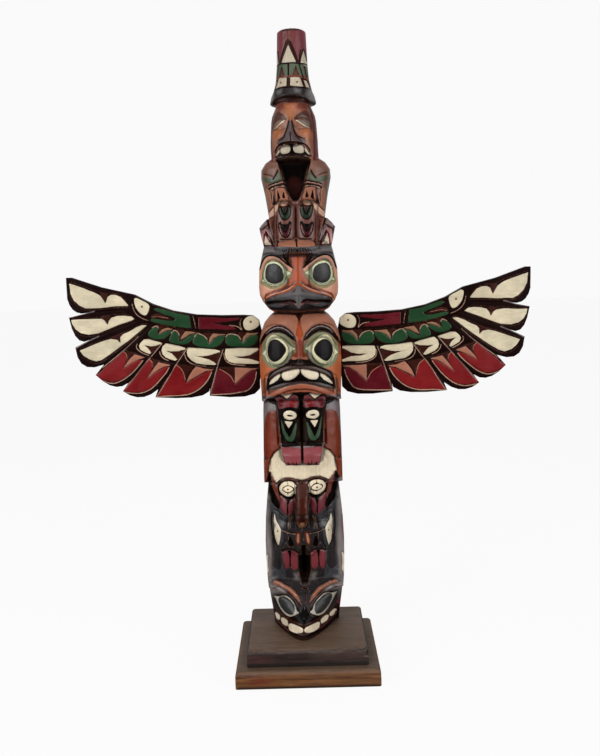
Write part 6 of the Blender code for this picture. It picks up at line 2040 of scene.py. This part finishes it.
def painted_wood(name, mesh, bare, grain_stretch, rub_amount, gloss):
    """Stained wood, each paint brushed over the one before, then rubbed edges, hollows darkened as dirt and
    painted shade, and a satin varnish.
    """
    material, tree, shader = new_material(name)
    place = node(tree, 'ShaderNodeTexCoord').outputs["Object"]
    stretched = node(tree, 'ShaderNodeMapping', {"Vector": place, "Scale": grain_stretch}).outputs[0]
    wood = node(tree, 'ShaderNodeGroup', {"Stretched": stretched, **PAINTED_GRAIN}, node_tree=grain).outputs
    tones = [tuple(share * c for c in colour(bare)[:3]) + (1.0,) for share in WOOD_TONES]
    tone = blend(tree, spread_value(tree, wood["Bands"], *NOISE_RANGE), *tones)
    hand = noise(tree, place, 420.0, 2.0)
    waver = spread_value(tree, hand, 0.25, 0.75, -BRUSH_WAVER, BRUSH_WAVER)
    for paint, code in PAINTS.items():
        if LAYER_PREFIX + paint in mesh.attributes:
            distance = attribute(tree, LAYER_PREFIX + paint)
            links = {"Under": tone, "Paint": colour(code), "Distance": distance, "Waver": waver,
                     "Softness": GLAZES.get(paint, BRUSH_EDGE)}
            tone = node(tree, 'ShaderNodeGroup', links, node_tree=brush).outputs[0]
    patchy = noise(tree, place, 55.0, 4.0, Roughness=0.65)
    tone = shaded(tree, tone, patchy, *PAINT_PATCHES)
    tone = shaded(tree, tone, wood["Bands"], *PAINT_STREAKS)
    tone = shaded(tree, tone, wood["Fine"], *PAINT_PORES, 0.8)
    links = {"Colour": tone, "Wood": colour(RUBBED_WOOD), "Dirt": colour(PAINT_DIRT_AND_SHADE),
             "Ridge": attribute(tree, "ridge"), "Noise": spread_value(tree, patchy, 0.35, 0.65),
             "Rub": rub_amount, "Grime": 0.7}
    tone = node(tree, 'ShaderNodeGroup', links, node_tree=rub).outputs[0]
    tree.links.new(tone, shader.inputs["Base Color"])
    tree.links.new(spread_value(tree, patchy, *NOISE_RANGE, *PAINT_ROUGHNESS), shader.inputs["Roughness"])
    light = node(tree, 'ShaderNodeRGBToBW', {0: tone}).outputs[0]
    shine = spread_value(tree, light, *SHINE_FROM, SHINE_LEAST * gloss, gloss)
    tree.links.new(shine, shader.inputs["Specular IOR Level"])
    strokes = noise(tree, stretched, 700.0, 3.0)
    bump = node(tree, 'ShaderNodeBump', {"Strength": 0.25, "Distance": 0.0004, "Height": strokes})
    tree.links.new(bump.outputs[0], shader.inputs["Normal"])
    return material


pole_finish = painted_wood("painted_cedar", pole.data, "#5a3322", (1.0, 1.0, 0.12), 0.06, 0.34)
wing_finish = painted_wood("painted_wing_board", wings[1.0].data, "#4a2c1e", (0.15, 1.0, 1.0), 0.12, 0.26)
pole.data.materials.append(pole_finish)
for piece in wings.values():
    piece.data.materials.append(wing_finish)
print("finishes:", pole_finish.name, wing_finish.name)

# %% Stained boards
# Colour of the painted shadow along the foot of a board
BOARD_FOOT_SHADE = "#0c0706"
BOARD_GRAIN = {"Rings": 260.0, "Pores": 1500.0}
BOARD_STREAKS = (0.8, 1.2)
BOARD_PORES = (0.72, 1.25)
# Pores that keep the worn tone, and the fewer ones that are splintered down to pale wood
SCRATCHED = (0.42, 0.62)
SPLINTERED = (0.56, 0.68, 0.0, 0.6)
BOARD_ROUGHNESS = (0.42, 0.62)
FACING_UP = (0.5, 0.95)


def stained_board(name, dark, light, worn, top, red, rubbed):
    """Open-grained wood under a thin stain, darker in its bands and rubbed along its edges. Faces that point
    up take a colour of their own, as painted light from above.
    """
    material, tree, shader = new_material(name)
    place = node(tree, 'ShaderNodeTexCoord').outputs["Object"]
    stretched = node(tree, 'ShaderNodeMapping', {"Vector": place, "Scale": (0.06, 1.0, 1.0)}).outputs[0]
    wood = node(tree, 'ShaderNodeGroup', {"Stretched": stretched, **BOARD_GRAIN}, node_tree=grain).outputs
    tone = blend(tree, spread_value(tree, wood["Bands"], 0.35, 0.65), colour(dark), colour(light))
    patchy = noise(tree, place, 28.0, 4.0)
    # Faces that point up take the top colour: painted light and sheen from above.
    normal = node(tree, 'ShaderNodeSeparateXYZ', {0: node(tree, 'ShaderNodeNewGeometry').outputs["Normal"]})
    painted_top_light = spread_value(tree, normal.outputs["Z"], *FACING_UP)
    tone = blend(tree, painted_top_light, tone, shaded(tree, colour(top), wood["Bands"], *BOARD_STREAKS))
    spilt = spread_value(tree, attribute(tree, "stained"), 0.1, 0.9, 0.0, 0.8)
    tone = blend(tree, spilt, tone, colour(red))
    tone = shaded(tree, tone, wood["Fine"], *BOARD_PORES)
    wear = attribute(tree, "worn")
    scratches = multiplied(tree, wear, spread_value(tree, wood["Fine"], *SCRATCHED))
    tone = blend(tree, scratches, tone, colour(worn))
    splinters = multiplied(tree, wear, spread_value(tree, wood["Fine"], *SPLINTERED))
    tone = blend(tree, splinters, tone, colour(rubbed))
    links = {"Colour": tone, "Wood": colour(rubbed), "Dirt": colour(BOARD_FOOT_SHADE),
             "Ridge": attribute(tree, "ridge"), "Noise": patchy, "Rub": 0.4, "Grime": 0.9}
    tone = node(tree, 'ShaderNodeGroup', links, node_tree=rub).outputs[0]
    tree.links.new(tone, shader.inputs["Base Color"])
    tree.links.new(spread_value(tree, patchy, *NOISE_RANGE, *BOARD_ROUGHNESS), shader.inputs["Roughness"])
    bump = node(tree, 'ShaderNodeBump', {"Strength": 0.35, "Distance": 0.0004, "Height": wood["Fine"]})
    tree.links.new(bump.outputs[0], shader.inputs["Normal"])
    return material


# Colours of each board: dark and light bands, worn edge, top as painted light and sheen from above, red
# stain, rubbed wood
LOWER_COLOURS = ("#4a2b18", "#7c5230", "#5d4231", "#584536", "#6a2512", "#7d6252")
UPPER_COLOURS = ("#1c100d", "#42302a", "#221814", "#5f4a3a", "#46231f", "#6d5c4d")
lower_board.data.materials.append(stained_board("stained_lower_board", *LOWER_COLOURS))
upper_board.data.materials.append(stained_board("stained_upper_board", *UPPER_COLOURS))
print("boards stained")
